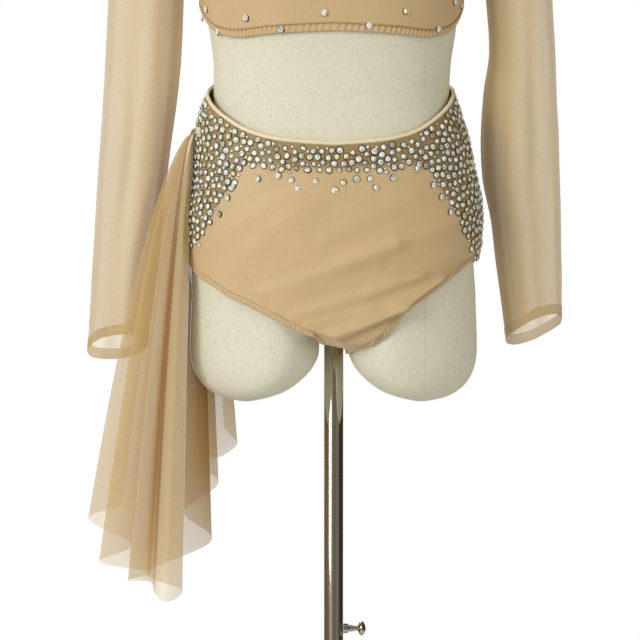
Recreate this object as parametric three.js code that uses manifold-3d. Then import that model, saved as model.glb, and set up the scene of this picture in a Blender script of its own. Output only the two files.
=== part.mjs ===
// A two-piece lyrical dance costume on a limbless dress form with a pole stand.
// The crop top has long sheer sleeves. The high-waisted brief has a sheer drape at one hip.
// Millimetres, +Z up. The front faces -Y. Left and right are those of a viewer in front.
// The origin is the centre of the base's underside, on the pole's axis.

import * as THREE from 'three';
import { mergeVertices } from 'three/addons/utils/BufferGeometryUtils.js';
import Module from 'manifold-3d';

const wasm = await Module();
wasm.setup();

const { degToRad, clamp, lerp } = THREE.MathUtils;

// Driving sizes of the cloth
const SEAM_GAP = 0.35;
const LYCRA_WALL = 1.2;
const MESH_WALL = 1;
const CUFF_HEIGHT = 12.5;
const LEG_BAND_WIDTH = 6;
const BAND_WALL = 1.6;
const BAND_SEAM_GAP = 0.8;
const UNDERBUST_BAND_HEIGHT = 8;
const PIPING_RADIUS = 2.2;
const DRAPE_TOP_Z = 1041;
const DRAPE_FLARE = 0.62;
const DRAPE_CLEARANCE = 5.5;
const TAB_HEIGHT = 5;
const TAB_OFFSET = 4.2;
const TAB_WALL = 5.6;
const HIP_STONE_RADIUS = 5.6;
const HIP_STONE_HEIGHT = 2.6;
const HIP_STONE_TABLE = 0.6;
const HIP_STONE_FACETS = 12;
const HIP_STONE_TURN = -75;
const HIP_STONE_ABOVE_TOP = 5;

// Driving sizes of the form and its stand
const BODY_SQUARENESS = 2.3;
const INNER_THIGH_ROUNDING = 60;
const CROWN_Z = 1475;
const CROWN_SHARE = 0.93;
const POLE_RADIUS = 11;
const POLE_TOP_Z = 806;
const INNER_POLE_RADIUS = 8.5;
const INNER_POLE_BOTTOM_Z = 190;
const INNER_POLE_TOP_Z = 900;
const RUNNING_GAP = 0.3;
const BASE_RADIUS = 170;
const BASE_THICKNESS = 6;
const COLLAR_RADIUS = 21;
const COLLAR_HEIGHT = 34;
const SCREW_Z = 467;
const SHANK_RADIUS = 2.8;
const BOSS_RADIUS = 5.6;
const BOSS_LENGTH = 6;
const KNOB_X = 32.5;

const table = (names, rows) => rows.map(
  (row) => Object.fromEntries(names.map((name, i) => [name, row[i]])),
);

// Half-widths and depths of the linen form from the pole's axis
const BODY = table(['z', 'left', 'right', 'front', 'back'], [
  [822, 138, 138, 88, 100],
  [850, 162, 163, 99, 112],
  [900, 163, 160, 104, 122],
  [925, 164, 163, 104.8, 123.5],
  [950, 164, 164, 105, 124],
  [1000, 154, 153, 101, 112],
  [1050, 143, 140.5, 96, 98],
  [1086, 137, 131.5, 92, 90],
  [1120, 137, 133, 92, 89],
  [1150, 140.5, 137.5, 97, 90],
  [1195, 148, 143, 108, 94],
  [1250, 153, 153, 125, 100],
  [1300, 160, 160, 115, 104],
  [1340, 172, 172, 98, 100],
  [1370, 178, 178, 82, 88],
  [1390, 168, 168, 68, 74],
  [1402, 140, 140, 60, 66],
  [1412, 105, 105, 55, 62],
  [1422, 78, 78, 52, 58],
  [1435, 62, 62, 50, 55],
  [1475, 56, 56, 48, 52],
]);

// One short thigh of the form: its inner and outer side, and its depths
const THIGH = table(['z', 'inner', 'outer', 'front', 'back'], [
  [736, 92, 112, 42, 48],
  [740, 76, 129, 70, 76],
  [746, 58, 141, 84, 91],
  [752, 47, 149, 90, 98],
  [760, 37, 155.5, 94, 102.5],
  [771, 26, 161, 96.5, 106],
  [781, 20, 163.5, 97.5, 108],
  [792, 16.5, 164.8, 98, 110],
  [850, 16.5, 163, 99, 112],
]);

// Outer skin of the brief, which stands off the form at the waist
const BRIEF = table(['z', 'left', 'right', 'front', 'back'], [
  [780, 162, 162, 42, 58],
  [790, 163, 163, 60, 76],
  [800, 165, 165, 80, 94],
  [815, 167, 167, 97.5, 110],
  [830, 168, 168, 103.5, 117],
  [850, 168, 168, 106.5, 122],
  [895, 167.5, 163.6, 109, 127.5],
  [925, 169, 167.8, 110, 129.5],
  [945, 168.5, 169, 110, 129.5],
  [965, 166, 168, 109, 127],
  [985, 161.5, 163.5, 107, 121],
  [1010, 158.5, 158, 104.5, 114],
  [1030, 157, 154, 102, 108],
  [1045, 156, 150, 101, 105],
  [1060, 153.5, 145.5, 100, 102.5],
  [1075, 149.5, 140.5, 99, 100.5],
  [1084, 146, 137.2, 98.5, 99.5],
  [1094, 142.5, 135.2, 98, 99],
  [1110, 142, 136.2, 98, 98.5],
]);

// Outer skin of the crop top, which also clears the flat of the shoulders upwards
const TOP_EASE = 4.2;
const SHOULDER_FROM_Z = 1340;
const TOP = BODY.map((row) => ({
  z: row.z + (row.z > SHOULDER_FROM_Z ? 4 : 0),
  left: row.left + TOP_EASE + 0.4,
  right: row.right + TOP_EASE,
  front: row.front + TOP_EASE,
  back: row.back + TOP_EASE,
}));

// Height of the brief's waist by the angle from the front centre
const WAIST = table(['turn', 'z'], [
  [0, 1034], [20, 1039], [34, 1047], [49, 1061], [62, 1072.5],
  [76, 1083], [90, 1090], [105, 1095], [130, 1100], [180, 1103],
]);

// Height of the brief's lower edge by that angle: the leg lines, with the front's sag between
const LEG_LINE_FRONT = table(['turn', 'z'], [
  [-90, 899], [-80, 896], [-64, 882], [-52, 873], [-42, 862], [-31, 852],
  [-24, 843], [-19, 837], [-12, 826], [-6, 818], [-1.5, 813], [1.5, 806],
  [4.5, 801.5], [8, 802], [12, 808], [16.5, 818.5], [25.5, 846], [35.5, 863],
  [48.5, 879], [64, 895], [80, 903], [90, 904],
]);
const LEG_LINE_BACK = table(['turn', 'z'], [
  [90, 899], [104, 888], [122, 868], [138, 848], [150, 832], [162, 816],
  [172, 806], [180, 803],
]);

// Height of the crop top's hem by that angle
const TOP_HEM = table(['turn', 'z'], [
  [0, 1158.5], [25, 1155], [45, 1151], [60, 1155], [72, 1165],
  [85, 1180], [95, 1187], [130, 1194], [180, 1196],
]);

// Outline of half the crop top's front, from the hem up: the middle and the neckline
const NECK_SIDE = table(['up', 'turn', 'z'], [
  [0, 0, 1158.5], [0.3, 0, 1238], [0.6, 0, 1322], [0.7, 22, 1331], [0.8, 44, 1356],
  [0.9, 68, 1396], [1, 89.6, 1421],
]);
// and the side seam, which runs on into the armhole
const ARM_SIDE = table(['up', 'turn', 'z'], [
  [0, 89.6, 1184], [0.3, 89.6, 1228], [0.5, 89.6, 1268], [0.6, 72, 1284], [0.72, 64, 1312],
  [0.86, 70, 1346], [1, 89.6, 1381],
]);
const ARMHOLE_FROM = 0.5;
const BACK_NECK_RISE = 52;

// Creases of the brief's front, as raised or sunk bands between two points, with how far each
// spreads above and below its line. The first two are one fold that hangs over the leg line
const CREASES = table(['x0', 'z0', 'x1', 'z1', 'rise', 'above', 'below'], [
  [2, 818, 73, 848, 6.5, 14, 3],
  [73, 848, 118, 876, 4.5, 11, 3],
  [-60, 862, 70, 930, 2, 13, 13],
  [40, 868, 158, 913, 2.4, 10, 6],
  [-110, 900, -10, 985, 1.6, 14, 14],
  [60, 896, 160, 896, -1.8, 7, 7],
]);
const CREASE_FADE = 40;

// Sleeves: the inner and outer side from the pole's axis, the middle's depth and half the depth
const downwards = (rows) => rows.map((row) => ({ ...row, down: -row.z }));
const SLEEVE_LEFT = downwards(table(['z', 'inner', 'outer', 'y', 'half'], [
  [1240, 170, 254.5, 17, 47],
  [1195, 172, 258, 22, 43],
  [1086, 180.5, 265.5, 34, 40],
  [1003, 191.5, 273, 44, 38],
  [890, 206, 281, 55, 34],
  [793, 218, 288.3, 60, 30],
]));
const SLEEVE_RIGHT = downwards(table(['z', 'inner', 'outer', 'y', 'half'], [
  [1240, 169.5, 248, 16, 47],
  [1195, 174, 250, 20, 43],
  [1132, 179, 254.5, 25, 41],
  [1086, 174, 256.5, 28, 41],
  [1030, 172, 259.5, 32, 40],
  [992, 173.5, 261.5, 35, 38],
  [938, 183, 264, 39, 36],
  [902, 187.5, 265, 42, 34],
  [856, 195, 266, 44, 32],
  [813, 202, 266, 46, 30],
]));
// Lower rim of each sleeve: its middle height and its rise outwards and backwards
const SLEEVES = {
  left: { side: -1, sizes: SLEEVE_LEFT, rim: 790, riseOut: -3, riseBack: 11 },
  right: { side: 1, sizes: SLEEVE_RIGHT, rim: 812, riseOut: 14.5, riseBack: 7.5 },
};
const SLEEVE_RINGS_Z = [1205, 1165, 1130, 1090, 1050, 1010, 965, 915, 868];
const SLEEVE_TOP_Z = 1240;
const FOLDS_FADE_IN = 120;
const FOLDS_LOST_AT_RIM = 0.45;
const TILT_FROM_Z = 1000;
const SLEEVE_FROM_ARMHOLE = 1.6;
const SLEEVE_FOLDS = table(['turn', 'depth', 'spread'], [
  [38, 3.4, 13], [78, -3, 12], [112, 3.2, 14], [152, -2.6, 14],
  [205, 3, 16], [250, -2.8, 15], [300, 3, 16], [340, -2.4, 14],
]);

// Upper rings of a sleeve below the armhole, by their inner and outer points
const SLEEVE_HEAD = table(['inner', 'innerZ', 'outer', 'outerZ', 'y', 'half'], [
  [162, 1264, 198, 1373, 3, 54],
  [164, 1255, 228, 1347, 8, 53],
  [167, 1246, 247, 1302, 12, 51],
  [170, 1238, 256, 1264, 15, 49],
]);

// Side drape, from its back edge round the front to its outer edge: where each bend of a fold
// hangs at the hem, and where it starts in the gathers at the hip, by the angle from the front
// centre and the distance out from the brief
const DRAPE = table(['x', 'y', 'z', 'topTurn', 'topOut'], [
  [-132, 150, 682, -108.5, 2.2],
  [-122, 131, 673.5, -107, 3],
  [-115, 112, 667, -105.5, 3.6],
  [-132, 92, 656, -104, 3.2],
  [-162, 72, 649, -102, 2.2],
  [-135, 46, 630.5, -98.5, 3.4],
  [-174, 16, 601.5, -95.5, 2.2],
  [-141.5, -14, 572.5, -92, 3.4],
  [-213, -46, 542, -88.5, 2.2],
  [-172.5, -76, 527.5, -83, 2.4],
  [-188, -98, 518, -80, 4.4],
  [-202, -84, 524.5, -81, 6.6],
  [-209.5, -56, 533, -84, 5.6],
  [-234.5, -62, 536, -86, 7.4],
  [-211, -34, 540, -89, 5.8],
  [-268, -48, 554.5, -92.5, 7.6],
  [-233, -14, 568, -96.5, 5.8],
  [-283.5, -8, 597, -100, 8],
  [-246.5, 18, 608, -104, 6],
]);

// Gusset between the legs, from front to back: its two edges, beside the pole in the middle
const GUSSET = table(['y', 'leftX', 'leftZ', 'rightX', 'rightZ'], [
  [-58, -8, 806, 22.5, 798],
  [-40, 4, 811, 17, 793],
  [-18, 13.2, 816, 13.9, 791],
  [0, 13.2, 817, 13.9, 791],
  [18, 13.2, 816, 13.9, 791],
  [42, 2, 812, 16.5, 795],
  [66, -16, 811, 18, 804],
]);

const material = (name, color, roughness, metalness = 0) => {
  const made = new THREE.MeshStandardMaterial({ color, roughness, metalness });
  made.name = name;
  return made;
};
const nudeLycra = material('nude_lycra', 0xd1b388, 0.62);
const sheerMesh = material('sheer_mesh', 0xd6bd93, 0.7);
const satin = material('satin_binding', 0xe4c79a, 0.35);
const crystal = material('crystal', 0xf2f0ea, 0.08);
const linen = material('linen', 0xdcd8c8, 0.9);
const steel = material('steel_tube', 0x9c978c, 0.25, 1);
const baseSteel = material('base_steel', 0xa8a49b, 0.35, 1);

// Reads a column of a table along a smooth curve that doesn't overshoot its rows
function read(rows, key, at, column) {
  const last = rows.length - 1;
  let i = 0;
  while (i < last - 1 && at > rows[i + 1][key]) i += 1;
  const slope = (k) => (rows[k + 1][column] - rows[k][column]) / (rows[k + 1][key] - rows[k][key]);
  const tangent = (k) => {
    if (k === 0) return slope(0);
    if (k === last) return slope(last - 1);
    const before = slope(k - 1);
    const after = slope(k);
    return before * after <= 0 ? 0 : (2 * before * after) / (before + after);
  };
  const span = rows[i + 1][key] - rows[i][key];
  const t = clamp((at - rows[i][key]) / span, 0, 1);
  const low = rows[i][column];
  const high = rows[i + 1][column];
  const ease = t * t * (3 - 2 * t);
  const leave = t * (1 - t) * (1 - t) * span * tangent(i);
  const arrive = t * t * (1 - t) * span * tangent(i + 1);
  return low + (high - low) * ease + leave - arrive;
}

// Point of an oval section, or out from it. Turn 0 is the front centre and 90 the right side
function onBody(sizes, turn, z, out = 0) {
  const across = Math.sin(degToRad(turn));
  const ahead = Math.cos(degToRad(turn));
  const width = read(sizes, 'z', z, across < 0 ? 'left' : 'right');
  const depth = read(sizes, 'z', z, ahead > 0 ? 'front' : 'back');
  const power = 2 / BODY_SQUARENESS;
  const point = new THREE.Vector3(
    Math.sign(across) * width * Math.abs(across) ** power,
    -Math.sign(ahead) * depth * Math.abs(ahead) ** power,
    z,
  );
  return point.addScaledVector(outward(point), out);
}

// Level direction from the pole's axis through a point
function outward(point) {
  return new THREE.Vector3(point.x, point.y, 0).normalize();
}

// A grid of points with its four-sided faces, which may close round in its first direction
function grid(across, along, place, closed = false) {
  const points = [];
  const faces = [];
  const width = closed ? across : across + 1;
  for (let j = 0; j <= along; j += 1) {
    for (let i = 0; i < width; i += 1) points.push(place(i / across, j / along));
  }
  for (let j = 0; j < along; j += 1) {
    for (let i = 0; i < across; i += 1) {
      const next = (i + 1) % width;
      faces.push([j * width + i, j * width + next, (j + 1) * width + next, (j + 1) * width + i]);
    }
  }
  return { points, faces };
}

// One sheet from several grids, with the points that they share made one
function joined(grids) {
  const points = [];
  const faces = [];
  const known = new Map();
  for (const part of grids) {
    const number = part.points.map((point) => {
      const key = point.toArray().map((value) => Math.round(value * 100)).join();
      if (!known.has(key)) {
        known.set(key, points.length);
        points.push(point);
      }
      return known.get(key);
    });
    part.faces.forEach((face) => faces.push(face.map((i) => number[i])));
  }
  return { points, faces };
}

function solidMesh(name, positions, index, finish) {
  const geometry = new THREE.BufferGeometry();
  geometry.setAttribute('position', new THREE.Float32BufferAttribute(positions, 3));
  geometry.setIndex(index);
  geometry.computeVertexNormals();
  const mesh = new THREE.Mesh(geometry, finish);
  mesh.name = name;
  return mesh;
}

// A sheet's normals, which point where its faces look
function sheetNormals({ points, faces }) {
  const normals = points.map(() => new THREE.Vector3());
  for (const [a, b, c, d] of faces) {
    const first = points[c].clone().sub(points[a]);
    const second = points[d].clone().sub(points[b]);
    const facing = first.cross(second);
    [a, b, c, d].forEach((i) => normals[i].add(facing));
  }
  return normals.map((normal) => normal.normalize());
}

// A wall of cloth: the sheet is its middle, and every edge is closed
function clothWall(name, sheet, thickness, finish) {
  const { points, faces } = sheet;
  const normals = sheetNormals(sheet);
  const positions = [];
  for (const side of [0.5, -0.5]) {
    points.forEach((point, i) => {
      positions.push(...point.clone().addScaledVector(normals[i], side * thickness).toArray());
    });
  }
  const under = points.length;
  const index = [];
  const edges = new Set();
  for (const face of faces) {
    const [a, b, c, d] = face;
    index.push(a, b, c, a, c, d);
    index.push(under + a, under + c, under + b, under + a, under + d, under + c);
    face.forEach((from, i) => edges.add(`${from},${face[(i + 1) % 4]}`));
  }
  for (const edge of edges) {
    const [from, to] = edge.split(',').map(Number);
    if (edges.has(`${to},${from}`)) continue;
    index.push(from, under + from, under + to, from, under + to, to);
  }
  return solidMesh(name, positions, index, finish);
}

// A closed body from rings of points, ordered upwards and seen from above anticlockwise
function lofted(rings) {
  const count = rings[0].length;
  const positions = rings.flat().flatMap((point) => point.toArray());
  const index = [];
  for (let j = 0; j < rings.length - 1; j += 1) {
    for (let i = 0; i < count; i += 1) {
      const low = j * count;
      const next = (i + 1) % count;
      index.push(low + i, low + next, low + count + next);
      index.push(low + i, low + count + next, low + count + i);
    }
  }
  const middle = (ring) => ring.reduce((sum, point) => sum.add(point), new THREE.Vector3())
    .divideScalar(count);
  positions.push(...middle(rings[0]).toArray(), ...middle(rings[rings.length - 1]).toArray());
  const bottom = rings.length * count;
  const topRow = bottom - count;
  for (let i = 0; i < count; i += 1) {
    const next = (i + 1) % count;
    index.push(bottom, next, i);
    index.push(bottom + 1, topRow + i, topRow + next);
  }
  const geometry = new THREE.BufferGeometry();
  geometry.setAttribute('position', new THREE.Float32BufferAttribute(positions, 3));
  geometry.setIndex(index);
  return geometry;
}

function toSolid(geometry) {
  const bare = geometry.clone();
  bare.deleteAttribute('normal');
  bare.deleteAttribute('uv');
  const merged = mergeVertices(bare, 1e-4);
  return new wasm.Manifold(new wasm.Mesh({
    numProp: 3,
    vertProperties: new Float32Array(merged.getAttribute('position').array),
    triVerts: new Uint32Array(merged.index.array),
  }));
}

function fromSolid(name, solid, finish) {
  const { vertProperties, triVerts } = solid.getMesh();
  return solidMesh(name, Array.from(vertProperties), Array.from(triVerts), finish);
}

// A round piece turned about Z from a profile of radius and height
function turned(profile, segments = 32) {
  const outline = profile.map(([radius, height]) => new THREE.Vector2(radius, height));
  return new THREE.LatheGeometry(outline, segments).rotateX(Math.PI / 2);
}

function turnedMesh(name, profile, finish, segments) {
  const mesh = new THREE.Mesh(turned(profile, segments), finish);
  mesh.name = name;
  return mesh;
}

// The linen form: torso and two short thighs in one body, with a socket for the inner pole
function formBody() {
  const around = 32;
  const heights = [822, 835, 850, 875, 900, 925, 950, 975, 1000, 1025, 1050, 1086, 1120, 1150,
    1195, 1225, 1255, 1290, 1320, 1348, 1366, 1380, 1392, 1403, 1412, 1422, 1440, 1470];
  const torsoRings = heights.map((z) => Array.from({ length: around }, (_, i) => (
    onBody(BODY, (360 * i) / around, z))));
  const crown = torsoRings[torsoRings.length - 1].map((point) => (
    new THREE.Vector3(point.x * CROWN_SHARE, point.y * CROWN_SHARE, CROWN_Z)));
  const torso = toSolid(lofted([...torsoRings, crown]));
  const thighAround = 24;
  const thighHeights = [736, 737.5, 740, 746, 752, 760, 771, 781, 792, 850];
  const thigh = (side) => toSolid(lofted(thighHeights.map((z) => {
    const inner = read(THIGH, 'z', z, 'inner');
    const outer = read(THIGH, 'z', z, 'outer');
    const half = (outer - inner) / 2;
    const rounding = Math.min(INNER_THIGH_ROUNDING, half * 1.6);
    const squared = (share) => (1 - clamp(share, 0, 1) ** BODY_SQUARENESS) ** (1 / BODY_SQUARENESS);
    return Array.from({ length: thighAround }, (_, i) => {
      const turn = (2 * Math.PI * (i + 0.5)) / thighAround;
      const x = inner + half + half * Math.sin(turn) * side;
      const isFront = Math.cos(turn) > 0;
      const depth = read(THIGH, 'z', z, isFront ? 'front' : 'back');
      const y = depth * squared(x / outer) * squared(1 - (x - inner) / rounding);
      return new THREE.Vector3(side * x, isFront ? -y : y, z);
    });
  })));
  const socketRadius = INNER_POLE_RADIUS + RUNNING_GAP;
  const socketEnd = INNER_POLE_TOP_Z + RUNNING_GAP;
  const socket = toSolid(turned([
    [0, POLE_TOP_Z], [socketRadius, POLE_TOP_Z], [socketRadius, socketEnd], [0, socketEnd],
  ], 28));
  const solid = torso.add(thigh(-1)).add(thigh(1)).subtract(socket);
  return fromSolid('form_body', solid, linen);
}

// Half of the crop top's front or back, spanned between the neck side and the arm side
function topHalf(side, isBack) {
  const outline = (rows, up) => ({
    turn: read(rows, 'up', up, 'turn'),
    z: read(rows, 'up', up, 'z'),
  });
  const neckRise = isBack ? BACK_NECK_RISE : 0;
  const hem = (turn) => read(TOP_HEM, 'turn', isBack ? 180 - turn : turn, 'z') + 1
    + UNDERBUST_BAND_HEIGHT;
  const place = (u, v) => {
    const neck = outline(NECK_SIDE, v);
    const arm = outline(ARM_SIDE, v);
    const high = clamp((v - 0.3) / 0.3, 0, 1);
    const low = clamp((1 - v) / 0.4, 0, 1);
    neck.z += neckRise * high * low;
    const turn = lerp(neck.turn, arm.turn, u);
    const bottomTurn = u * ARM_SIDE[0].turn;
    const straight = lerp(NECK_SIDE[0].z, ARM_SIDE[0].z, u);
    const z = lerp(neck.z, arm.z, u) + (hem(bottomTurn) - straight) * (1 - v) ** 2;
    return onBody(TOP, side * (isBack ? 180 - turn : turn), z);
  };
  const sheet = grid(10, 15, place);
  if (side < 0 !== isBack) sheet.faces.forEach((face) => face.reverse());
  return sheet;
}

function topPanel(name, isBack) {
  const right = topHalf(1, isBack);
  const left = topHalf(-1, isBack);
  return clothWall(name, joined([right, left]), LYCRA_WALL, nudeLycra);
}

// The elastic band along the crop top's hem, all the way round
function underbustBand() {
  const around = 44;
  const sheet = grid(around, 1, (u, v) => {
    const turn = 360 * u;
    const z = read(TOP_HEM, 'turn', turn > 180 ? 360 - turn : turn, 'z');
    return onBody(TOP, turn, z + v * UNDERBUST_BAND_HEIGHT);
  }, true);
  return clothWall('underbust_band', sheet, BAND_WALL, nudeLycra);
}

// A closed ring of sleeve points: 0 is the outer side, 90 the front and 180 the inner side
function sleeveRing(side, inner, innerZ, outer, outerZ, y, half, folds) {
  return (turn) => {
    const out = Math.cos(degToRad(turn));
    const ahead = Math.sin(degToRad(turn));
    let swell = 0;
    for (const fold of SLEEVE_FOLDS) {
      const away = Math.abs(((turn - fold.turn + 540) % 360) - 180);
      swell += fold.depth * folds * Math.exp(-((away / fold.spread) ** 2));
    }
    const grow = 1 + swell / half;
    const reach = out * grow;
    return new THREE.Vector3(
      side * ((inner + outer) / 2 + ((outer - inner) / 2) * reach),
      y - half * ahead * grow,
      (innerZ + outerZ) / 2 + ((outerZ - innerZ) / 2) * reach,
    );
  };
}

// The armhole's edge, moved out to where the sleeve starts
function armholeRing(side) {
  return (turn) => {
    const isBack = turn > 180;
    const up = 1 - (1 - ARMHOLE_FROM) * ((isBack ? 360 - turn : turn) / 180);
    const edge = read(ARM_SIDE, 'up', up, 'turn');
    const point = onBody(TOP, side * (isBack ? 180 - edge : edge), read(ARM_SIDE, 'up', up, 'z'));
    point.x += side * SLEEVE_FROM_ARMHOLE;
    return point;
  };
}

// A ring of the sleeve's long part, tilted more and more towards its lower rim
function lowerRing(sleeve, z, tilt) {
  const { side, sizes } = sleeve;
  const at = (column) => read(sizes, 'down', -z, column);
  const folds = clamp((SLEEVE_TOP_Z - z) / FOLDS_FADE_IN, 0, 1) * (1 - FOLDS_LOST_AT_RIM * tilt);
  const ring = sleeveRing(side, at('inner'), z, at('outer'), z, at('y'), at('half'), folds);
  return (turn) => {
    const point = ring(turn);
    const out = Math.cos(degToRad(turn));
    const ahead = Math.sin(degToRad(turn));
    point.z += tilt * (sleeve.riseOut * out - sleeve.riseBack * ahead);
    return point;
  };
}

function sleeveAndCuff(name, sleeve) {
  const around = 24;
  const cuffTop = sleeve.rim + CUFF_HEIGHT;
  const rings = [armholeRing(sleeve.side)];
  const first = SLEEVE_HEAD[0];
  const last = SLEEVE_HEAD[SLEEVE_HEAD.length - 1];
  const wider = read(sleeve.sizes, 'down', -last.innerZ, 'outer') - last.outer;
  for (const row of SLEEVE_HEAD) {
    const outer = row.outer + wider * ((row.outer - first.outer) / (last.outer - first.outer));
    rings.push(sleeveRing(sleeve.side, row.inner, row.innerZ, outer, row.outerZ, row.y, row.half, 0));
  }
  for (const z of SLEEVE_RINGS_Z) {
    const tilt = clamp((TILT_FROM_Z - z) / (TILT_FROM_Z - cuffTop), 0, 1) ** 2;
    rings.push(lowerRing(sleeve, z, tilt));
  }
  rings.push(lowerRing(sleeve, cuffTop + SEAM_GAP, 1));
  const tube = grid(around, rings.length - 1, (u, v) => (
    rings[Math.round(v * (rings.length - 1))](360 * u)), true);
  const cuffRings = [lowerRing(sleeve, cuffTop, 1), lowerRing(sleeve, sleeve.rim, 1)];
  const cuff = grid(around, 1, (u, v) => cuffRings[v](360 * u), true);
  return [
    clothWall(`sleeve_${name}`, tube, MESH_WALL, sheerMesh),
    clothWall(`cuff_${name}`, cuff, BAND_WALL, sheerMesh),
  ];
}

// How far a crease lifts the brief's front at a place across and up
function creaseRise(x, z) {
  let rise = 0;
  for (const crease of CREASES) {
    const runX = crease.x1 - crease.x0;
    const runZ = crease.z1 - crease.z0;
    const length = Math.hypot(runX, runZ);
    const along = ((x - crease.x0) * runX + (z - crease.z0) * runZ) / length ** 2;
    const past = Math.max(0, -along, along - 1) * length;
    const aside = ((z - crease.z0) * runX - (x - crease.x0) * runZ) / length;
    const spread = aside > 0 ? crease.above : crease.below;
    rise += crease.rise * Math.exp(-((aside / spread) ** 2) - (past / crease.above) ** 2);
  }
  return rise;
}

const foldTurn = (turn) => Math.abs(((turn + 540) % 360) - 180);
const waistZ = (turn) => read(WAIST, 'turn', foldTurn(turn), 'z');
const GUSSET_FROM = -6;
const GUSSET_TO = 12;
const GUSSET_BACK = 172;
const GUSSET_OVERHANG = 1.4;
const PANEL_INSET = LEG_BAND_WIDTH + BAND_SEAM_GAP;
const STEEPEST_EDGE = 2.2;

// Height of the brief's lower edge all round, by the angle from -180 to 180
function legLineZ(turn) {
  if (Math.abs(turn) <= 90) return read(LEG_LINE_FRONT, 'turn', turn, 'z');
  return read(LEG_LINE_BACK, 'turn', foldTurn(turn), 'z');
}

// A point of the brief at an angle, at a distance in from its lower edge
function briefEdge(turn, inset) {
  const step = 1;
  const before = onBody(BRIEF, turn - step, legLineZ(turn - step));
  const after = onBody(BRIEF, turn + step, legLineZ(turn + step));
  const run = Math.hypot(after.x - before.x, after.y - before.y);
  const steepness = Math.hypot(1, (after.z - before.z) / run);
  return onBody(BRIEF, turn, legLineZ(turn) + inset * Math.min(steepness, STEEPEST_EDGE));
}

function briefFront(turn, z, high) {
  const point = onBody(BRIEF, turn, z);
  const fade = Math.min(1, (high - z) / CREASE_FADE);
  return point.addScaledVector(outward(point), creaseRise(point.x, z) * fade);
}

// A panel from its lower edge to the waist, with its rows closer together lower down
function briefPanel(name, from, to, across, along, place) {
  const sheet = grid(across, along, (u, v) => {
    const turn = lerp(from, to, u);
    const high = waistZ(turn) - PIPING_RADIUS - BAND_SEAM_GAP;
    return place(turn, lerp(briefEdge(turn, PANEL_INSET).z, high, v ** 1.3), high);
  });
  return clothWall(name, sheet, LYCRA_WALL, nudeLycra);
}

// The gusset's rows between the front and back panels: left and right ends
const gussetRows = GUSSET.map((row) => ({
  left: new THREE.Vector3(row.leftX, row.y, row.leftZ),
  right: new THREE.Vector3(row.rightX, row.y, row.rightZ),
}));

function gusset() {
  const across = 4;
  const margin = 1.5;
  const last = gussetRows.length + 1;
  const sheet = grid(across, last, (u, v) => {
    const j = Math.round(v * last);
    if (j === 0) {
      return briefEdge(lerp(GUSSET_FROM + margin, GUSSET_TO - margin, u), PANEL_INSET - GUSSET_OVERHANG);
    }
    if (j === last) {
      return briefEdge(180 + lerp(1, -1, u) * (180 - GUSSET_BACK - 1), PANEL_INSET - GUSSET_OVERHANG);
    }
    const { left, right } = gussetRows[j - 1];
    const share = PANEL_INSET / left.distanceTo(right);
    return left.clone().lerp(right, lerp(share, 1 - share, u));
  });
  return clothWall('brief_gusset', sheet, LYCRA_WALL, nudeLycra);
}

// The elastic band round a leg opening: front leg line, side, back leg line and gusset edge
function legBand(name, side) {
  const pairs = [];
  const frontEnd = side < 0 ? -GUSSET_FROM : GUSSET_TO;
  for (let turn = frontEnd; turn <= GUSSET_BACK; turn += (GUSSET_BACK - frontEnd) / 32) {
    pairs.push([briefEdge(side * turn, 0), briefEdge(side * turn, LEG_BAND_WIDTH)]);
  }
  for (const { left, right } of [...gussetRows].reverse()) {
    const [edge, far] = side < 0 ? [left, right] : [right, left];
    pairs.push([edge.clone(), edge.clone().lerp(far, LEG_BAND_WIDTH / edge.distanceTo(far))]);
  }
  const sheet = grid(pairs.length, 1, (u, v) => (
    pairs[Math.round(u * pairs.length) % pairs.length][v]), true);
  return clothWall(name, sheet, BAND_WALL, nudeLycra);
}

// A round cord of satin along the brief's waist
function waistBinding() {
  const around = 44;
  const sides = 6;
  const rings = Array.from({ length: around }, (_, i) => {
    const turn = (360 * i) / around;
    const middle = onBody(BRIEF, turn, waistZ(turn));
    return Array.from({ length: sides }, (__, k) => {
      const angle = (2 * Math.PI * k) / sides;
      const point = onBody(BRIEF, turn, middle.z, PIPING_RADIUS * Math.cos(angle));
      point.z += PIPING_RADIUS * Math.sin(angle);
      return point;
    });
  });
  const positions = rings.flat().flatMap((point) => point.toArray());
  const index = [];
  for (let i = 0; i < around; i += 1) {
    for (let k = 0; k < sides; k += 1) {
      const a = i * sides + k;
      const b = i * sides + ((k + 1) % sides);
      const c = ((i + 1) % around) * sides + ((k + 1) % sides);
      const d = ((i + 1) % around) * sides + k;
      index.push(a, c, b, a, d, c);
    }
  }
  return solidMesh('waist_binding', positions, index, satin);
}

// Moves a point of the drape out of the brief and the thigh
function clearOfHip(point) {
  if (point.z < THIGH[0].z) return point;
  const onThigh = point.z < THIGH[THIGH.length - 1].z;
  const sizes = onThigh ? THIGH : BRIEF;
  const width = read(sizes, 'z', point.z, onThigh ? 'outer' : 'left') + DRAPE_CLEARANCE;
  const depth = read(sizes, 'z', point.z, point.y < 0 ? 'front' : 'back') + DRAPE_CLEARANCE;
  const power = BODY_SQUARENESS;
  const reach = (Math.abs(point.x / width) ** power + Math.abs(point.y / depth) ** power) ** (1 / power);
  if (reach < 1) {
    point.x /= reach;
    point.y /= reach;
  }
  return point;
}

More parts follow.
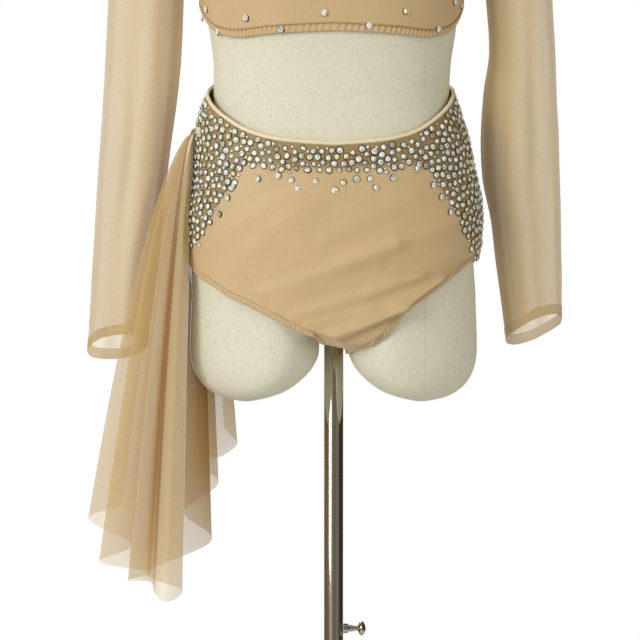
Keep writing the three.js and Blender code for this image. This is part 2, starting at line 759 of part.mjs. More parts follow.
// The gathered sheet that hangs from the left hip and fans out to its pointed hem
function sideDrape() {
  const through = (points) => new THREE.CatmullRomCurve3(points, false, 'catmullrom', 0.5);
  const hem = through(DRAPE.map(({ x, y, z }) => new THREE.Vector3(x, y, z)));
  const gathers = through(DRAPE.map((row) => onBody(BRIEF, row.topTurn, DRAPE_TOP_Z, row.topOut)));
  const sheet = grid(3 * (DRAPE.length - 1), 12, (u, v) => {
    const low = hem.getPoint(u);
    const point = gathers.getPoint(u).lerp(low, v ** DRAPE_FLARE);
    point.z = lerp(DRAPE_TOP_Z, low.z, v);
    return clearOfHip(point);
  });
  return clothWall('side_drape', sheet, MESH_WALL, sheerMesh);
}

// The folded strip that holds the drape's gathers against the brief
function drapeTab() {
  const sheet = grid(8, 1, (u, v) => (
    onBody(BRIEF, lerp(-106, -81, u), DRAPE_TOP_Z + SEAM_GAP + v * TAB_HEIGHT, TAB_OFFSET)));
  return clothWall('drape_tab', sheet, TAB_WALL, sheerMesh);
}

// The large faceted stone over the gathers
function hipCrystal() {
  const gem = new THREE.CylinderGeometry(
    HIP_STONE_RADIUS * HIP_STONE_TABLE, HIP_STONE_RADIUS, HIP_STONE_HEIGHT, HIP_STONE_FACETS,
  );
  gem.rotateX(Math.PI / 2);
  const mesh = new THREE.Mesh(gem, crystal);
  mesh.name = 'hip_crystal';
  const seat = onBody(BRIEF, HIP_STONE_TURN, DRAPE_TOP_Z + HIP_STONE_ABOVE_TOP);
  const facing = new THREE.Vector3(seat.x * 0.35, seat.y * 1.6, 0).normalize();
  mesh.position.copy(seat.addScaledVector(facing, TAB_OFFSET));
  mesh.lookAt(mesh.position.clone().add(facing));
  return mesh;
}

// The stand: base, collar, outer tube with a clamp screw, and the inner pole in the tube
function stand() {
  const gap = RUNNING_GAP;
  const bore = INNER_POLE_RADIUS + gap;
  const bossEnd = POLE_RADIUS + BOSS_LENGTH;
  const group = new THREE.Group();
  group.add(turnedMesh('base_disc', [
    [0, 0], [BASE_RADIUS - 1, 0], [BASE_RADIUS, 1], [BASE_RADIUS, BASE_THICKNESS - 2],
    [BASE_RADIUS - 3, BASE_THICKNESS - 0.6], [BASE_RADIUS - 10, BASE_THICKNESS],
    [0, BASE_THICKNESS],
  ], baseSteel, 40));
  group.add(turnedMesh('pole_collar', [
    [POLE_RADIUS + gap, BASE_THICKNESS + gap], [COLLAR_RADIUS, BASE_THICKNESS + gap],
    [COLLAR_RADIUS, BASE_THICKNESS + 6], [POLE_RADIUS + 4, BASE_THICKNESS + 10],
    [POLE_RADIUS + 3, COLLAR_HEIGHT], [POLE_RADIUS + gap, COLLAR_HEIGHT],
    [POLE_RADIUS + gap, BASE_THICKNESS + gap],
  ], baseSteel, 24));
  group.add(turnedMesh('column_tube', [
    [0, BASE_THICKNESS + gap], [POLE_RADIUS, BASE_THICKNESS + gap], [POLE_RADIUS, POLE_TOP_Z],
    [bore, POLE_TOP_Z], [bore, INNER_POLE_BOTTOM_Z - gap], [0, INNER_POLE_BOTTOM_Z - gap],
  ], steel, 28));
  group.add(turnedMesh('inner_pole', [
    [0, INNER_POLE_BOTTOM_Z], [INNER_POLE_RADIUS, INNER_POLE_BOTTOM_Z],
    [INNER_POLE_RADIUS, INNER_POLE_TOP_Z], [0, INNER_POLE_TOP_Z],
  ], steel, 28));
  const boss = turnedMesh('screw_boss', [
    [SHANK_RADIUS + gap, POLE_RADIUS + gap], [BOSS_RADIUS, POLE_RADIUS + gap],
    [BOSS_RADIUS, bossEnd - 1], [BOSS_RADIUS - 1, bossEnd], [SHANK_RADIUS + gap, bossEnd],
    [SHANK_RADIUS + gap, POLE_RADIUS + gap],
  ], steel, 16);
  const screw = turnedMesh('thumb_screw', [
    [0, POLE_RADIUS + gap], [SHANK_RADIUS, POLE_RADIUS + gap], [SHANK_RADIUS, bossEnd + gap],
    [4.2, bossEnd + gap + 0.6], [2.4, KNOB_X - 5.5], [3.4, KNOB_X - 4.4], [7, KNOB_X - 2.6],
    [8.5, KNOB_X], [7, KNOB_X + 2.6], [3.2, KNOB_X + 4.4], [0, KNOB_X + 4.8],
  ], steel, 16);
  for (const mesh of [boss, screw]) {
    mesh.rotation.y = Math.PI / 2;
    mesh.position.z = SCREW_Z;
    group.add(mesh);
  }
  return group;
}

function costumeOnForm() {
  const group = new THREE.Group();
  group.add(stand());
  group.add(formBody());
  group.add(topPanel('top_front', false));
  group.add(topPanel('top_back', true));
  group.add(underbustBand());
  group.add(...sleeveAndCuff('left', SLEEVES.left));
  group.add(...sleeveAndCuff('right', SLEEVES.right));
  group.add(briefPanel('brief_front', -89.8, 89.8, 32, 12, briefFront));
  group.add(briefPanel('brief_back', 90.2, 269.8, 24, 7, (turn, z) => onBody(BRIEF, turn, z)));
  group.add(gusset());
  group.add(legBand('leg_band_left', -1));
  group.add(legBand('leg_band_right', 1));
  group.add(waistBinding());
  group.add(sideDrape());
  group.add(drapeTab());
  group.add(hipCrystal());
  return group;
}

export default costumeOnForm();
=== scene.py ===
# %% [markdown]
# A two-piece lyrical dance costume on a display form, dressed in Blender.
# The rigid model gives every size and place. Each piece of cloth is built again here as a thin
# sheet from the same short tables of sizes, so it lies where its solid lies, with finer folds.

# %% The frame and the tools
import math
import random

import bmesh
import bpy
import numpy as np
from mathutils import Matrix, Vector


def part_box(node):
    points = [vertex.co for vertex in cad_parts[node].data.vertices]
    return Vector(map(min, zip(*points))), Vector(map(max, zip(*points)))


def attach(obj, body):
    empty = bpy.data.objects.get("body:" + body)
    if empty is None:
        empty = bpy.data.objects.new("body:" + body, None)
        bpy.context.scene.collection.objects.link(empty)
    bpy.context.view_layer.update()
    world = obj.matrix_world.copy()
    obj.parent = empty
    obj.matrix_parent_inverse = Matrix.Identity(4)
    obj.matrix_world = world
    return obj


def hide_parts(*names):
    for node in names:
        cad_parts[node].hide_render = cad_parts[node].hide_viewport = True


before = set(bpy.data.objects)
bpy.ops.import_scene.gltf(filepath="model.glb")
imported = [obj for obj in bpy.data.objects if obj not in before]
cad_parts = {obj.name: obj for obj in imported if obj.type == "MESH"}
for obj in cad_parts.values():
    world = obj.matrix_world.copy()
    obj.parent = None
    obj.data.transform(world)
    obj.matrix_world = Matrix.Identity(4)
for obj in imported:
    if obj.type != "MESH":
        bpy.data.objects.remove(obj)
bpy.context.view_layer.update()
MM = 0.001

# %% [markdown]
# The photograph is taken from in front at about chest height and cuts the object off at the
# bust and at the stand's clamp. A long lens from that height gives the same outline. The floor
# is a pale disc below the picture, so the background stays white.

# %% Camera, floor and light
EYE = Vector((-0.0158, -3.2, 1.15))
AIM = Vector((-0.0158, 0.0, 0.8275))
LENS = 157.3
MESH_LAYERS_SEEN_THROUGH = 32
FLOOR_RADIUS, FLOOR_SIDES, FLOOR_DROP = 1.3, 96, 0.0005
FLOOR_COLOUR, FLOOR_ROUGHNESS = (0.86, 0.86, 0.85, 1), 0.6
# Each light: its name, place, aim, size and power, and whether a shiny piece mirrors it
LIGHTS = [
    ("key_light", (-2.15, -2.15, 1.9), (0, 0, 0.95), (1.2, 1.6), 50, True),
    ("fill_light", (2.2, -2.0, 1.5), (0, 0, 0.9), (1.4, 1.8), 16, False),
    ("back_light", (-0.9, 2.2, 2.0), (0, 0, 0.9), (1.6, 1.6), 16, True)]

camera_data = bpy.data.cameras.new("camera")
camera_data.lens = LENS
camera = bpy.data.objects.new("camera", camera_data)
camera.location = EYE
camera.rotation_euler = (AIM - EYE).to_track_quat("-Z", "Y").to_euler()
bpy.context.collection.objects.link(camera)
bpy.context.scene.camera = camera
bpy.context.scene.view_settings.view_transform = "Standard"
bpy.context.scene.cycles.transparent_max_bounces = MESH_LAYERS_SEEN_THROUGH


def linked_object(name, data):
    piece = bpy.data.objects.new(name, data)
    bpy.context.collection.objects.link(piece)
    return piece


def area_light(name, place, aim, size, power, mirrored):
    data = bpy.data.lights.new(name, "AREA")
    data.shape = "RECTANGLE"
    data.size, data.size_y = size
    data.energy = power
    light = linked_object(name, data)
    light.location = place
    light.rotation_euler = (Vector(aim) - Vector(place)).to_track_quat("-Z", "Y").to_euler()
    light.visible_glossy = mirrored


def pale_floor():
    mesh = bpy.data.meshes.new("floor")
    shape = bmesh.new()
    bmesh.ops.create_circle(shape, cap_ends=True, segments=FLOOR_SIDES, radius=FLOOR_RADIUS)
    shape.to_mesh(mesh)
    shape.free()
    material = bpy.data.materials.new("floor_paint")
    material.use_nodes = True
    paint = material.node_tree.nodes["Principled BSDF"].inputs
    paint["Base Color"].default_value = FLOOR_COLOUR
    paint["Roughness"].default_value = FLOOR_ROUGHNESS
    mesh.materials.append(material)
    floor = linked_object("floor", mesh)
    floor.location.z = -FLOOR_DROP


for light_facts in LIGHTS:
    area_light(*light_facts)
pale_floor()

# %% [markdown]
# A dress form and the clothes on it are all ovals stacked up a height, so a row of a table
# holds one section: its height, its half-widths and its depths. The rows are read along a
# smooth curve that never overshoots them, which keeps a waist a waist and a hip a hip.

# %% Tables of sections
def table(names, rows):
    return dict(zip(names.split(), np.array(rows, float).T))


BODY = table("z left right front back", [
    (822, 138, 138, 88, 100), (850, 162, 163, 99, 112), (900, 163, 160, 104, 122),
    (925, 164, 163, 104.8, 123.5), (950, 164, 164, 105, 124), (1000, 154, 153, 101, 112),
    (1050, 143, 140.5, 96, 98), (1086, 137, 131.5, 92, 90), (1120, 137, 133, 92, 89),
    (1150, 140.5, 137.5, 97, 90),
    (1195, 148, 143, 108, 94), (1250, 153, 153, 125, 100), (1300, 160, 160, 115, 104),
    (1340, 172, 172, 98, 100), (1370, 178, 178, 82, 88), (1390, 168, 168, 68, 74),
    (1402, 140, 140, 60, 66), (1412, 105, 105, 55, 62), (1422, 78, 78, 52, 58),
    (1435, 62, 62, 50, 55), (1475, 56, 56, 48, 52)])
THIGH = table("z inner outer front back", [
    (736, 92, 112, 42, 48), (740, 76, 129, 70, 76), (746, 58, 141, 84, 91),
    (752, 47, 149, 90, 98), (760, 37, 155.5, 94, 102.5), (771, 26, 161, 96.5, 106),
    (781, 20, 163.5, 97.5, 108), (792, 16.5, 164.8, 98, 110), (850, 16.5, 163, 99, 112)])
BRIEF = table("z left right front back", [
    (780, 162, 162, 42, 58), (790, 163, 163, 60, 76), (800, 165, 165, 80, 94),
    (815, 167, 167, 97.5, 110), (830, 168, 168, 103.5, 117), (850, 168, 168, 106.5, 122),
    (895, 167.5, 163.6, 109, 127.5), (925, 169, 167.8, 110, 129.5), (945, 168.5, 169, 110, 129.5),
    (965, 166, 168, 109, 127), (985, 161.5, 163.5, 107, 121), (1010, 158.5, 158, 104.5, 114),
    (1030, 157, 154, 102, 108), (1045, 156, 150, 101, 105), (1060, 153.5, 145.5, 100, 102.5),
    (1075, 149.5, 140.5, 99, 100.5), (1084, 146, 137.2, 98.5, 99.5), (1094, 142.5, 135.2, 98, 99),
    (1110, 142, 136.2, 98, 98.5)])
# The top lies this far off the form, a little more on the left, and is lifted over the shoulders
TOP_EASE, TOP_EASE_LEFT, SHOULDER_Z, SHOULDER_LIFT = 4.2, 0.4, 1340, 4.0
TOP = {column: values + TOP_EASE for column, values in BODY.items()}
TOP["left"] = TOP["left"] + TOP_EASE_LEFT
TOP["z"] = BODY["z"] + np.where(BODY["z"] > SHOULDER_Z, SHOULDER_LIFT, 0.0)
SQUARENESS = 2.3


def eased(values, slope, i, t, span):
    """Between one value and the next, along a smooth curve with a slope at each."""
    ease = t * t * (3 - 2 * t)
    leave = t * (1 - t) ** 2 * span * slope[i]
    arrive = t * t * (1 - t) * span * slope[i + 1]
    return values[i] + (values[i + 1] - values[i]) * ease + leave - arrive


def read(rows, key, at, column):
    """A column of a table at one or many heights, along a smooth monotone curve."""
    x, y = rows[key], rows[column]
    at = np.asarray(at, float)
    slope = np.diff(y) / np.diff(x)
    tangent = np.zeros_like(y)
    tangent[0], tangent[-1] = slope[0], slope[-1]
    rising = slope[:-1] * slope[1:] > 0
    inner = np.zeros(len(rising))
    inner[rising] = (2 * slope[:-1] * slope[1:])[rising] / (slope[:-1] + slope[1:])[rising]
    tangent[1:-1] = inner
    i = np.clip(np.searchsorted(x, at, side="right") - 1, 0, len(x) - 2)
    span = x[i + 1] - x[i]
    return eased(y, tangent, i, np.clip((at - x[i]) / span, 0, 1), span)


def on_body(sizes, turn, z, swell=0.0):
    """Points of the oval sections in metres. Turn 0 is the front centre, 90 the right side."""
    turn, z = np.broadcast_arrays(np.asarray(turn, float), np.asarray(z, float))
    across, ahead = np.sin(np.radians(turn)), np.cos(np.radians(turn))
    width = np.where(across < 0, read(sizes, "z", z, "left"), read(sizes, "z", z, "right"))
    depth = np.where(ahead > 0, read(sizes, "z", z, "front"), read(sizes, "z", z, "back"))
    power = 2 / SQUARENESS
    x = np.sign(across) * (width + swell) * np.abs(across) ** power
    y = -np.sign(ahead) * (depth + swell) * np.abs(ahead) ** power
    return np.stack([x, y, z], -1) * MM


def outward(points):
    """Level unit vectors from the pole's axis through some points."""
    flat = points * (1, 1, 0)
    return flat / np.maximum(np.linalg.norm(flat, axis=-1, keepdims=True), 1e-9)


# %% [markdown]
# A sheet of cloth is a grid of points. Its UV map counts metres along and across the cloth,
# so a weave keeps its size however the cloth folds. Lycra gets a thin wall from Solidify, and
# the sheer mesh stays one layer, because each layer of it dims what is behind by the same share.

# %% Sheets from grids
LYCRA_WALL, HEM_WALL = 0.0009, 0.0012
SMALLEST_CUT, FULLEST_CUT, BAREST_CUT = 0.0105, 0.999, 0.31


def grid_corners(j, i, across):
    """The four corners of the faces in row j and column i, as numbers of a grid's points."""
    right = (i + 1) % across
    return [j * across + i, j * across + right, (j + 1) * across + right, (j + 1) * across + i]


def grid_mesh(name, points, materials, closed=False, thickness=0.0, flip=False):
    """A piece of cloth from an array of rows of points."""
    rows, across = points.shape[:2]
    mesh = bpy.data.meshes.new(name)
    columns = across if closed else across - 1
    j, i = np.meshgrid(np.arange(rows - 1), np.arange(columns), indexing="ij")
    corners = grid_corners(j, i, across)
    faces = np.stack(corners[::-1] if flip else corners, -1).reshape(-1, 4)
    mesh.from_pydata(points.reshape(-1, 3).tolist(), [], faces.tolist())
    step_u = np.linalg.norm(np.diff(points, axis=1), axis=-1).mean(0)
    along_u = np.concatenate([[0], np.cumsum(step_u), [0]])
    along_u[-1] = along_u[-2] + (step_u.mean() if closed else 0)
    step_v = np.linalg.norm(np.diff(points, axis=0), axis=-1).mean(1)
    along_v = np.concatenate([[0], np.cumsum(step_v)])
    ends = [(j, i), (j, i + 1), (j + 1, i + 1), (j + 1, i)]
    places = [(along_u[b], along_v[a]) for a, b in (ends[::-1] if flip else ends)]
    uv = np.stack([np.stack(place, -1) for place in places], 2).reshape(-1, 2)
    mesh.uv_layers.new(name="cloth").data.foreach_set("uv", uv.ravel())
    mesh.polygons.foreach_set("use_smooth", np.ones(len(faces), bool))
    for material in materials:
        mesh.materials.append(material)
    piece = linked_object(name, mesh)
    if thickness:
        give_wall(piece, thickness)
    return piece


def give_wall(piece, thickness):
    wall = piece.modifiers.new("wall", "SOLIDIFY")
    wall.thickness = thickness
    wall.offset = 0.0


def set_attribute(piece, name, values):
    mask = piece.data.attributes.new(name, "FLOAT", "POINT")
    mask.data.foreach_set("value", np.asarray(values, float).ravel())


def merge_close(piece, distance=2e-5):
    shape = bmesh.new()
    shape.from_mesh(piece.data)
    bmesh.ops.remove_doubles(shape, verts=shape.verts, dist=distance)
    shape.to_mesh(piece.data)
    shape.free()


def as_plain(piece, name):
    """The piece as its modifiers leave it, as a plain mesh under its own name."""
    depsgraph = bpy.context.evaluated_depsgraph_get()
    mesh = bpy.data.meshes.new_from_object(piece.evaluated_get(depsgraph), depsgraph=depsgraph)
    old = piece.data
    bpy.data.objects.remove(piece)
    if old.users == 0:
        bpy.data.meshes.remove(old)
    mesh.name = name
    return linked_object(name, mesh)


def all_round(points, closed):
    """The rows of a grid, each with its first point again at its end if it is closed."""
    return np.concatenate([points, points[:, :1]], 1) if closed else points


def sheet_area(points, closed=False):
    """The area of a grid of points, in square metres."""
    points = all_round(points, closed)
    one = points[1:, 1:] - points[:-1, :-1]
    two = points[1:, :-1] - points[:-1, 1:]
    return float(np.linalg.norm(np.cross(one, two), axis=-1).sum() / 2)


def cut_size(points, closed=False):
    """The rectangle that a piece is cut from: its longest row and its longest column."""
    points = all_round(points, closed)
    width = np.linalg.norm(np.diff(points, axis=1), axis=-1).sum(1).max()
    length = np.linalg.norm(np.diff(points, axis=0), axis=-1).sum(0).max()
    return round(float(width), 3), round(max(float(length), SMALLEST_CUT), 3)


def finish_cloth(piece, points, nodes, closed=False):
    """Puts one sheet on the form and hides the solids it replaces. It works out the rectangle the
    sheet is cut from and an area between two shares of it, but keeps neither. The frame takes a
    cut area between these two shares of the rectangle."""
    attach(piece, "form")
    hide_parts(*nodes)
    flat = cut_size(points, closed)
    rectangle = flat[0] * flat[1]
    area = round(min(sheet_area(points, closed), FULLEST_CUT * rectangle), 5)
    area = max(area, BAREST_CUT * rectangle)


# %% [markdown]
# Every finish starts with the same bricks: a weave, a fine mottle and a slow change of tone.
# They are node groups that give out a colour or a height only, and each material sets their
# scale, so the lycra, the linen and the mesh share one set of rules.

# %% Shader groups
def shader_group(name, inputs, outputs):
    group = bpy.data.node_groups.new(name, "ShaderNodeTree")
    for label, kind, value in inputs:
        socket = group.interface.new_socket(name=label, in_out="INPUT", socket_type=kind)
        if value is not None:
            socket.default_value = value
    for label, kind in outputs:
        group.interface.new_socket(name=label, in_out="OUTPUT", socket_type=kind)
    return group, group.nodes.new("NodeGroupInput"), group.nodes.new("NodeGroupOutput")


def make_node(nodes, links, kind, inputs, **settings):
    """A node with its settings, then each input: a plain value, or another node's output."""
    node = nodes.new(kind)
    for key, value in settings.items():
        setattr(node, key, value)
    for place, value in inputs.items():
        if isinstance(value, bpy.types.NodeSocket):
            links.new(value, node.inputs[place])
        else:
            node.inputs[place].default_value = value
    return node


def math_node(nodes, links, operation, *values):
    inputs = dict(enumerate(values))
    return make_node(nodes, links, "ShaderNodeMath", inputs, operation=operation).outputs[0]


def weave_group():
    """Crossing threads: a height from two sets of waves on a cloth's UV map."""
    group, source, sink = shader_group(
        "plain_weave",
        [("Vector", "NodeSocketVector", None), ("Threads per Metre", "NodeSocketFloat", 900.0)],
        [("Height", "NodeSocketFloat")])
    nodes, links = group.nodes, group.links
    split = make_node(nodes, links, "ShaderNodeSeparateXYZ", {0: source.outputs["Vector"]})
    waves = []
    for axis in ("X", "Y"):
        threads = source.outputs["Threads per Metre"]
        count = math_node(nodes, links, "MULTIPLY", split.outputs[axis], threads)
        angle = math_node(nodes, links, "MULTIPLY", count, math.pi)
        wave = math_node(nodes, links, "SINE", angle)
        waves.append(math_node(nodes, links, "ABSOLUTE", wave))
    both = math_node(nodes, links, "MAXIMUM", waves[0], waves[1])
    links.new(both, sink.inputs["Height"])
    return group


def mottle_group():
    """A slow and a fine change of tone, mixed into one number round 1."""
    group, source, sink = shader_group(
        "mottle", [("Vector", "NodeSocketVector", None), ("Slow Scale", "NodeSocketFloat", 9.0),
                   ("Fine Scale", "NodeSocketFloat", 700.0), ("Slow Share", "NodeSocketFloat", 0.08),
                   ("Fine Share", "NodeSocketFloat", 0.08)],
        [("Tone", "NodeSocketFloat"), ("Fine", "NodeSocketFloat")])
    nodes, links = group.nodes, group.links
    tones = []
    for scale in ("Slow Scale", "Fine Scale"):
        noise = make_node(nodes, links, "ShaderNodeTexNoise", {
            "Vector": source.outputs["Vector"], "Scale": source.outputs[scale], "Detail": 3.0})
        tones.append(math_node(nodes, links, "SUBTRACT", noise.outputs[0], 0.5))
    links.new(tones[1], sink.inputs["Fine"])
    slow = math_node(nodes, links, "MULTIPLY", tones[0], source.outputs["Slow Share"])
    fine = math_node(nodes, links, "MULTIPLY", tones[1], source.outputs["Fine Share"])
    total = math_node(nodes, links, "ADD", math_node(nodes, links, "ADD", slow, fine), 1.0)
    links.new(total, sink.inputs["Tone"])
    return group


WEAVE = weave_group()
MOTTLE = mottle_group()


def new_material(name):
    material = bpy.data.materials.new(name)
    material.use_nodes = True
    tree = material.node_tree
    return material, tree.nodes, tree.links, tree.nodes["Principled BSDF"]


def add_group(nodes, group, **values):
    node = nodes.new("ShaderNodeGroup")
    node.node_tree = group
    for label, value in values.items():
        node.inputs[label.replace("_", " ")].default_value = value
    return node


def toned_colour(nodes, links, colour, tone):
    """A colour, plain or from a node, whose brightness follows a number round 1."""
    inputs = {0: colour, "Scale": tone}
    return make_node(nodes, links, "ShaderNodeVectorMath", inputs, operation="SCALE").outputs[0]


def bump(nodes, links, height, strength, distance, shader):
    node = make_node(nodes, links, "ShaderNodeBump", {
        "Strength": strength, "Distance": distance, "Height": height})
    links.new(node.outputs[0], shader.inputs["Normal"])


def on_object(nodes, links, **values):
    """The mottle laid over an object's own coordinates, and those coordinates."""
    place = nodes.new("ShaderNodeTexCoord")
    mottle = add_group(nodes, MOTTLE, **values)
    links.new(place.outputs["Object"], mottle.inputs["Vector"])
    return place, mottle


def painted(nodes, attribute):
    """A number that a mesh carries at each of its points."""
    node = nodes.new("ShaderNodeAttribute")
    node.attribute_name = attribute
    return node.outputs["Fac"]


def mixed(nodes, links, share, first, second):
    inputs = {"Factor": share, "A": first, "B": second}
    return make_node(nodes, links, "ShaderNodeMix", inputs, data_type="RGBA").outputs["Result"]


def colour_ramp(nodes, links, place, stops, interpolation="LINEAR"):
    """A colour read off a row of stops, each a position and a colour."""
    ramp = nodes.new("ShaderNodeValToRGB")
    ramp.color_ramp.interpolation = interpolation
    links.new(place, ramp.inputs[0])
    while len(ramp.color_ramp.elements) < len(stops):
        ramp.color_ramp.elements.new(0.5)
    for element, (position, colour) in zip(ramp.color_ramp.elements, stops):
        element.position = position
        element.color = (*colour, 1)
    return ramp.outputs[0]


def finish_of(shader, **values):
    """Sets plain values of the main shader, such as its roughness and its sheen."""
    for label, value in values.items():
        shader.inputs[label.replace("_", " ")].default_value = value


# %% [markdown]
# The studio is white where the camera looks straight at it. For light it is a soft grey room, and
# a shiny piece mirrors a darker room with a bright window in front of it on the left.

# %% The studio
SOFT_STRENGTH = 0.6
# From the left to the right
SOFT_ROOM = [(0.0, (0.9, 0.89, 0.86)), (0.5, (0.8, 0.79, 0.75)), (1.0, (0.5, 0.48, 0.44))]
# Round the room from behind, over the left, the front and the right, and back
MIRRORED_ROOM = [
    (0.0, (0.2, 0.18, 0.14)), (0.14, (0.16, 0.13, 0.09)), (0.3, (0.2, 0.165, 0.11)),
    (0.345, (0.26, 0.23, 0.18)), (0.38, (0.5, 0.485, 0.43)), (0.42, (0.5, 0.485, 0.43)),
    (0.46, (0.25, 0.235, 0.19)), (0.53, (0.17, 0.155, 0.12)), (0.62, (0.26, 0.245, 0.2)),
    (0.68, (0.16, 0.15, 0.12)), (0.73, (0.03, 0.026, 0.02)), (0.88, (0.07, 0.06, 0.045))]


def studio_world():
    world = bpy.data.worlds.new("studio")
    world.use_nodes = True
    nodes, links = world.node_tree.nodes, world.node_tree.links
    nodes.clear()
    place = nodes.new("ShaderNodeTexCoord")
    split = make_node(nodes, links, "ShaderNodeSeparateXYZ", {0: place.outputs["Generated"]})
    across = math_node(nodes, links, "MULTIPLY_ADD", split.outputs["X"], 0.5, 0.5)
    forward = math_node(nodes, links, "MULTIPLY", split.outputs["Y"], -1.0)
    turn = math_node(nodes, links, "ARCTAN2", split.outputs["X"], forward)
    around = math_node(nodes, links, "MULTIPLY_ADD", turn, 0.5 / math.pi, 0.5)

    def room(place, strength, stops):
        inputs = {"Strength": strength, "Color": colour_ramp(nodes, links, place, stops)}
        return make_node(nodes, links, "ShaderNodeBackground", inputs).outputs[0]

    soft = room(across, SOFT_STRENGTH, SOFT_ROOM)
    mirrored = room(around, 1.0, MIRRORED_ROOM)
    white = make_node(nodes, links, "ShaderNodeBackground", {"Color": (1, 1, 1, 1)}).outputs[0]
    ray = nodes.new("ShaderNodeLightPath").outputs
    unseen = make_node(nodes, links, "ShaderNodeMixShader", {
        0: ray["Is Glossy Ray"], 1: soft, 2: mirrored}).outputs[0]
    seen = make_node(nodes, links, "ShaderNodeMixShader", {
        0: ray["Is Camera Ray"], 1: unseen, 2: white}).outputs[0]
    make_node(nodes, links, "ShaderNodeOutputWorld", {"Surface": seen})
    bpy.context.scene.world = world


studio_world()

# %% [markdown]
# Cloth is lit through its weave, so each kind has a mottled colour and a fine height. Lycra is
# close and a little shiny, mesh lets a share of what is behind it through, and linen is matt.

# %% Cloth materials
def lycra_material(name, stoned=False):
    material, nodes, links, shader = new_material(name)
    place, mottle = on_object(
        nodes, links, Slow_Scale=22.0, Fine_Scale=1100.0, Slow_Share=0.12, Fine_Share=0.34)
    base = toned_colour(nodes, links, LYCRA_COLOUR, mottle.outputs["Tone"])
    if stoned:
        # Painted shade under the fold at the leg line and in the drawn-in crease
        shade = painted(nodes, "shade")
        tone = math_node(nodes, links, "MULTIPLY_ADD", shade, -PAINTED_FOLD_SHADE, mottle.outputs["Tone"])
        bare = toned_colour(nodes, links, LYCRA_COLOUR, tone)
        # Between the stones a darker colour: partly glue, partly painted shade
        glue_and_shade = toned_colour(nodes, links, GLUE_AND_SHADE_COLOUR, tone)
        base = mixed(nodes, links, painted(nodes, "stoned"), bare, glue_and_shade)
    links.new(base, shader.inputs["Base Color"])
    weave = add_group(nodes, WEAVE, Threads_per_Metre=1100.0)
    links.new(place.outputs["UV"], weave.inputs["Vector"])
    bump(nodes, links, weave.outputs["Height"], 0.25, 0.0002, shader)
    finish_of(shader, Roughness=0.58, Sheen_Weight=0.25, Sheen_Roughness=0.4)
    return material


def mesh_material(name, colour, layers_and_shade_colour, cover):
    """Sheer mesh: one layer hides a share of what is behind it. Where the cloth lies in several layers
    or is folded away it is browner and closer, and it is also browner where shade falls: painted shade."""
    material, nodes, links, shader = new_material(name)
    _, mottle = on_object(
        nodes, links, Slow_Scale=18.0, Fine_Scale=900.0, Slow_Share=0.1, Fine_Share=0.3)
    bunching_and_shade, tone = painted(nodes, "bunching_and_shade"), mottle.outputs["Tone"]
    open_cloth = toned_colour(nodes, links, colour, tone)
    layered_and_shaded = toned_colour(nodes, links, layers_and_shade_colour, tone)
    links.new(mixed(nodes, links, bunching_and_shade, open_cloth, layered_and_shaded), shader.inputs["Base Color"])
    thread = math_node(nodes, links, "MULTIPLY_ADD", mottle.outputs["Fine"], THREAD_SHARE, cover)
    cover_here = math_node(nodes, links, "MULTIPLY_ADD", bunching_and_shade, BUNCHED_COVER, thread)
    links.new(cover_here, shader.inputs["Alpha"])
    finish_of(shader, Roughness=0.75, Sheen_Weight=0.15)
    return material


def satin_material():
    material, nodes, links, shader = new_material("satin_binding")
    _, mottle = on_object(
        nodes, links, Slow_Scale=60.0, Fine_Scale=1400.0, Slow_Share=0.1, Fine_Share=0.08)
    base = toned_colour(nodes, links, SATIN_COLOUR, mottle.outputs["Tone"])
    links.new(base, shader.inputs["Base Color"])
    bump(nodes, links, mottle.outputs["Fine"], 0.3, 0.0003, shader)
    finish_of(shader, Roughness=0.32, Sheen_Weight=0.2)
    return material


def linen_material():
    """Ivory linen glued over the form, with fine slubs along both threads and panel seams."""
    material, nodes, links, shader = new_material("linen")
    place, mottle = on_object(
        nodes, links, Slow_Scale=6.0, Fine_Scale=500.0, Slow_Share=0.05, Fine_Share=0.1)
    tone = mottle.outputs["Tone"]
    height = mottle.outputs["Fine"]
    for stretch in SLUB_STRETCHES:
        mapping = make_node(nodes, links, "ShaderNodeMapping", {
            "Vector": place.outputs["Object"], "Scale": stretch})
        slub = make_node(nodes, links, "ShaderNodeTexNoise", {
            "Vector": mapping.outputs[0], "Scale": SLUB_SCALE, "Detail": 2.0})
        lift = math_node(nodes, links, "SUBTRACT", slub.outputs[0], 0.5)
        height = math_node(nodes, links, "ADD", height, lift)
        tone = math_node(nodes, links, "MULTIPLY_ADD", lift, SLUB_SHARE, tone)
    specks = make_node(nodes, links, "ShaderNodeTexNoise", {
        "Vector": place.outputs["Object"], "Scale": SPECK_SCALE})
    below = math_node(nodes, links, "SUBTRACT", SPECK_LEVEL, specks.outputs[0])
    speck = math_node(nodes, links, "MULTIPLY", below, SPECK_EDGE)
    speck = math_node(nodes, links, "MAXIMUM", speck, 0.0)
    tone = math_node(nodes, links, "MULTIPLY_ADD", speck, -SPECK_DARKENS, tone)
    split = make_node(nodes, links, "ShaderNodeSeparateXYZ", {0: place.outputs["Object"]})
    wander = math_node(nodes, links, "MULTIPLY_ADD", specks.outputs[0], SEAM_WANDER, PANEL_SEAM_X)
    offset = math_node(nodes, links, "SUBTRACT", split.outputs["X"], wander)
    away = math_node(nodes, links, "ABSOLUTE", offset)
    seam = math_node(nodes, links, "MULTIPLY_ADD", away, -SEAM_SHARPNESS, 1.0)
    seam = math_node(nodes, links, "MAXIMUM", seam, 0.0)
    tone = math_node(nodes, links, "MULTIPLY_ADD", seam, -SEAM_DARKENS, tone)
    links.new(toned_colour(nodes, links, LINEN_COLOUR, tone), shader.inputs["Base Color"])
    bump(nodes, links, height, 0.35, 0.0004, shader)
    finish_of(shader, Roughness=0.9)
    return material


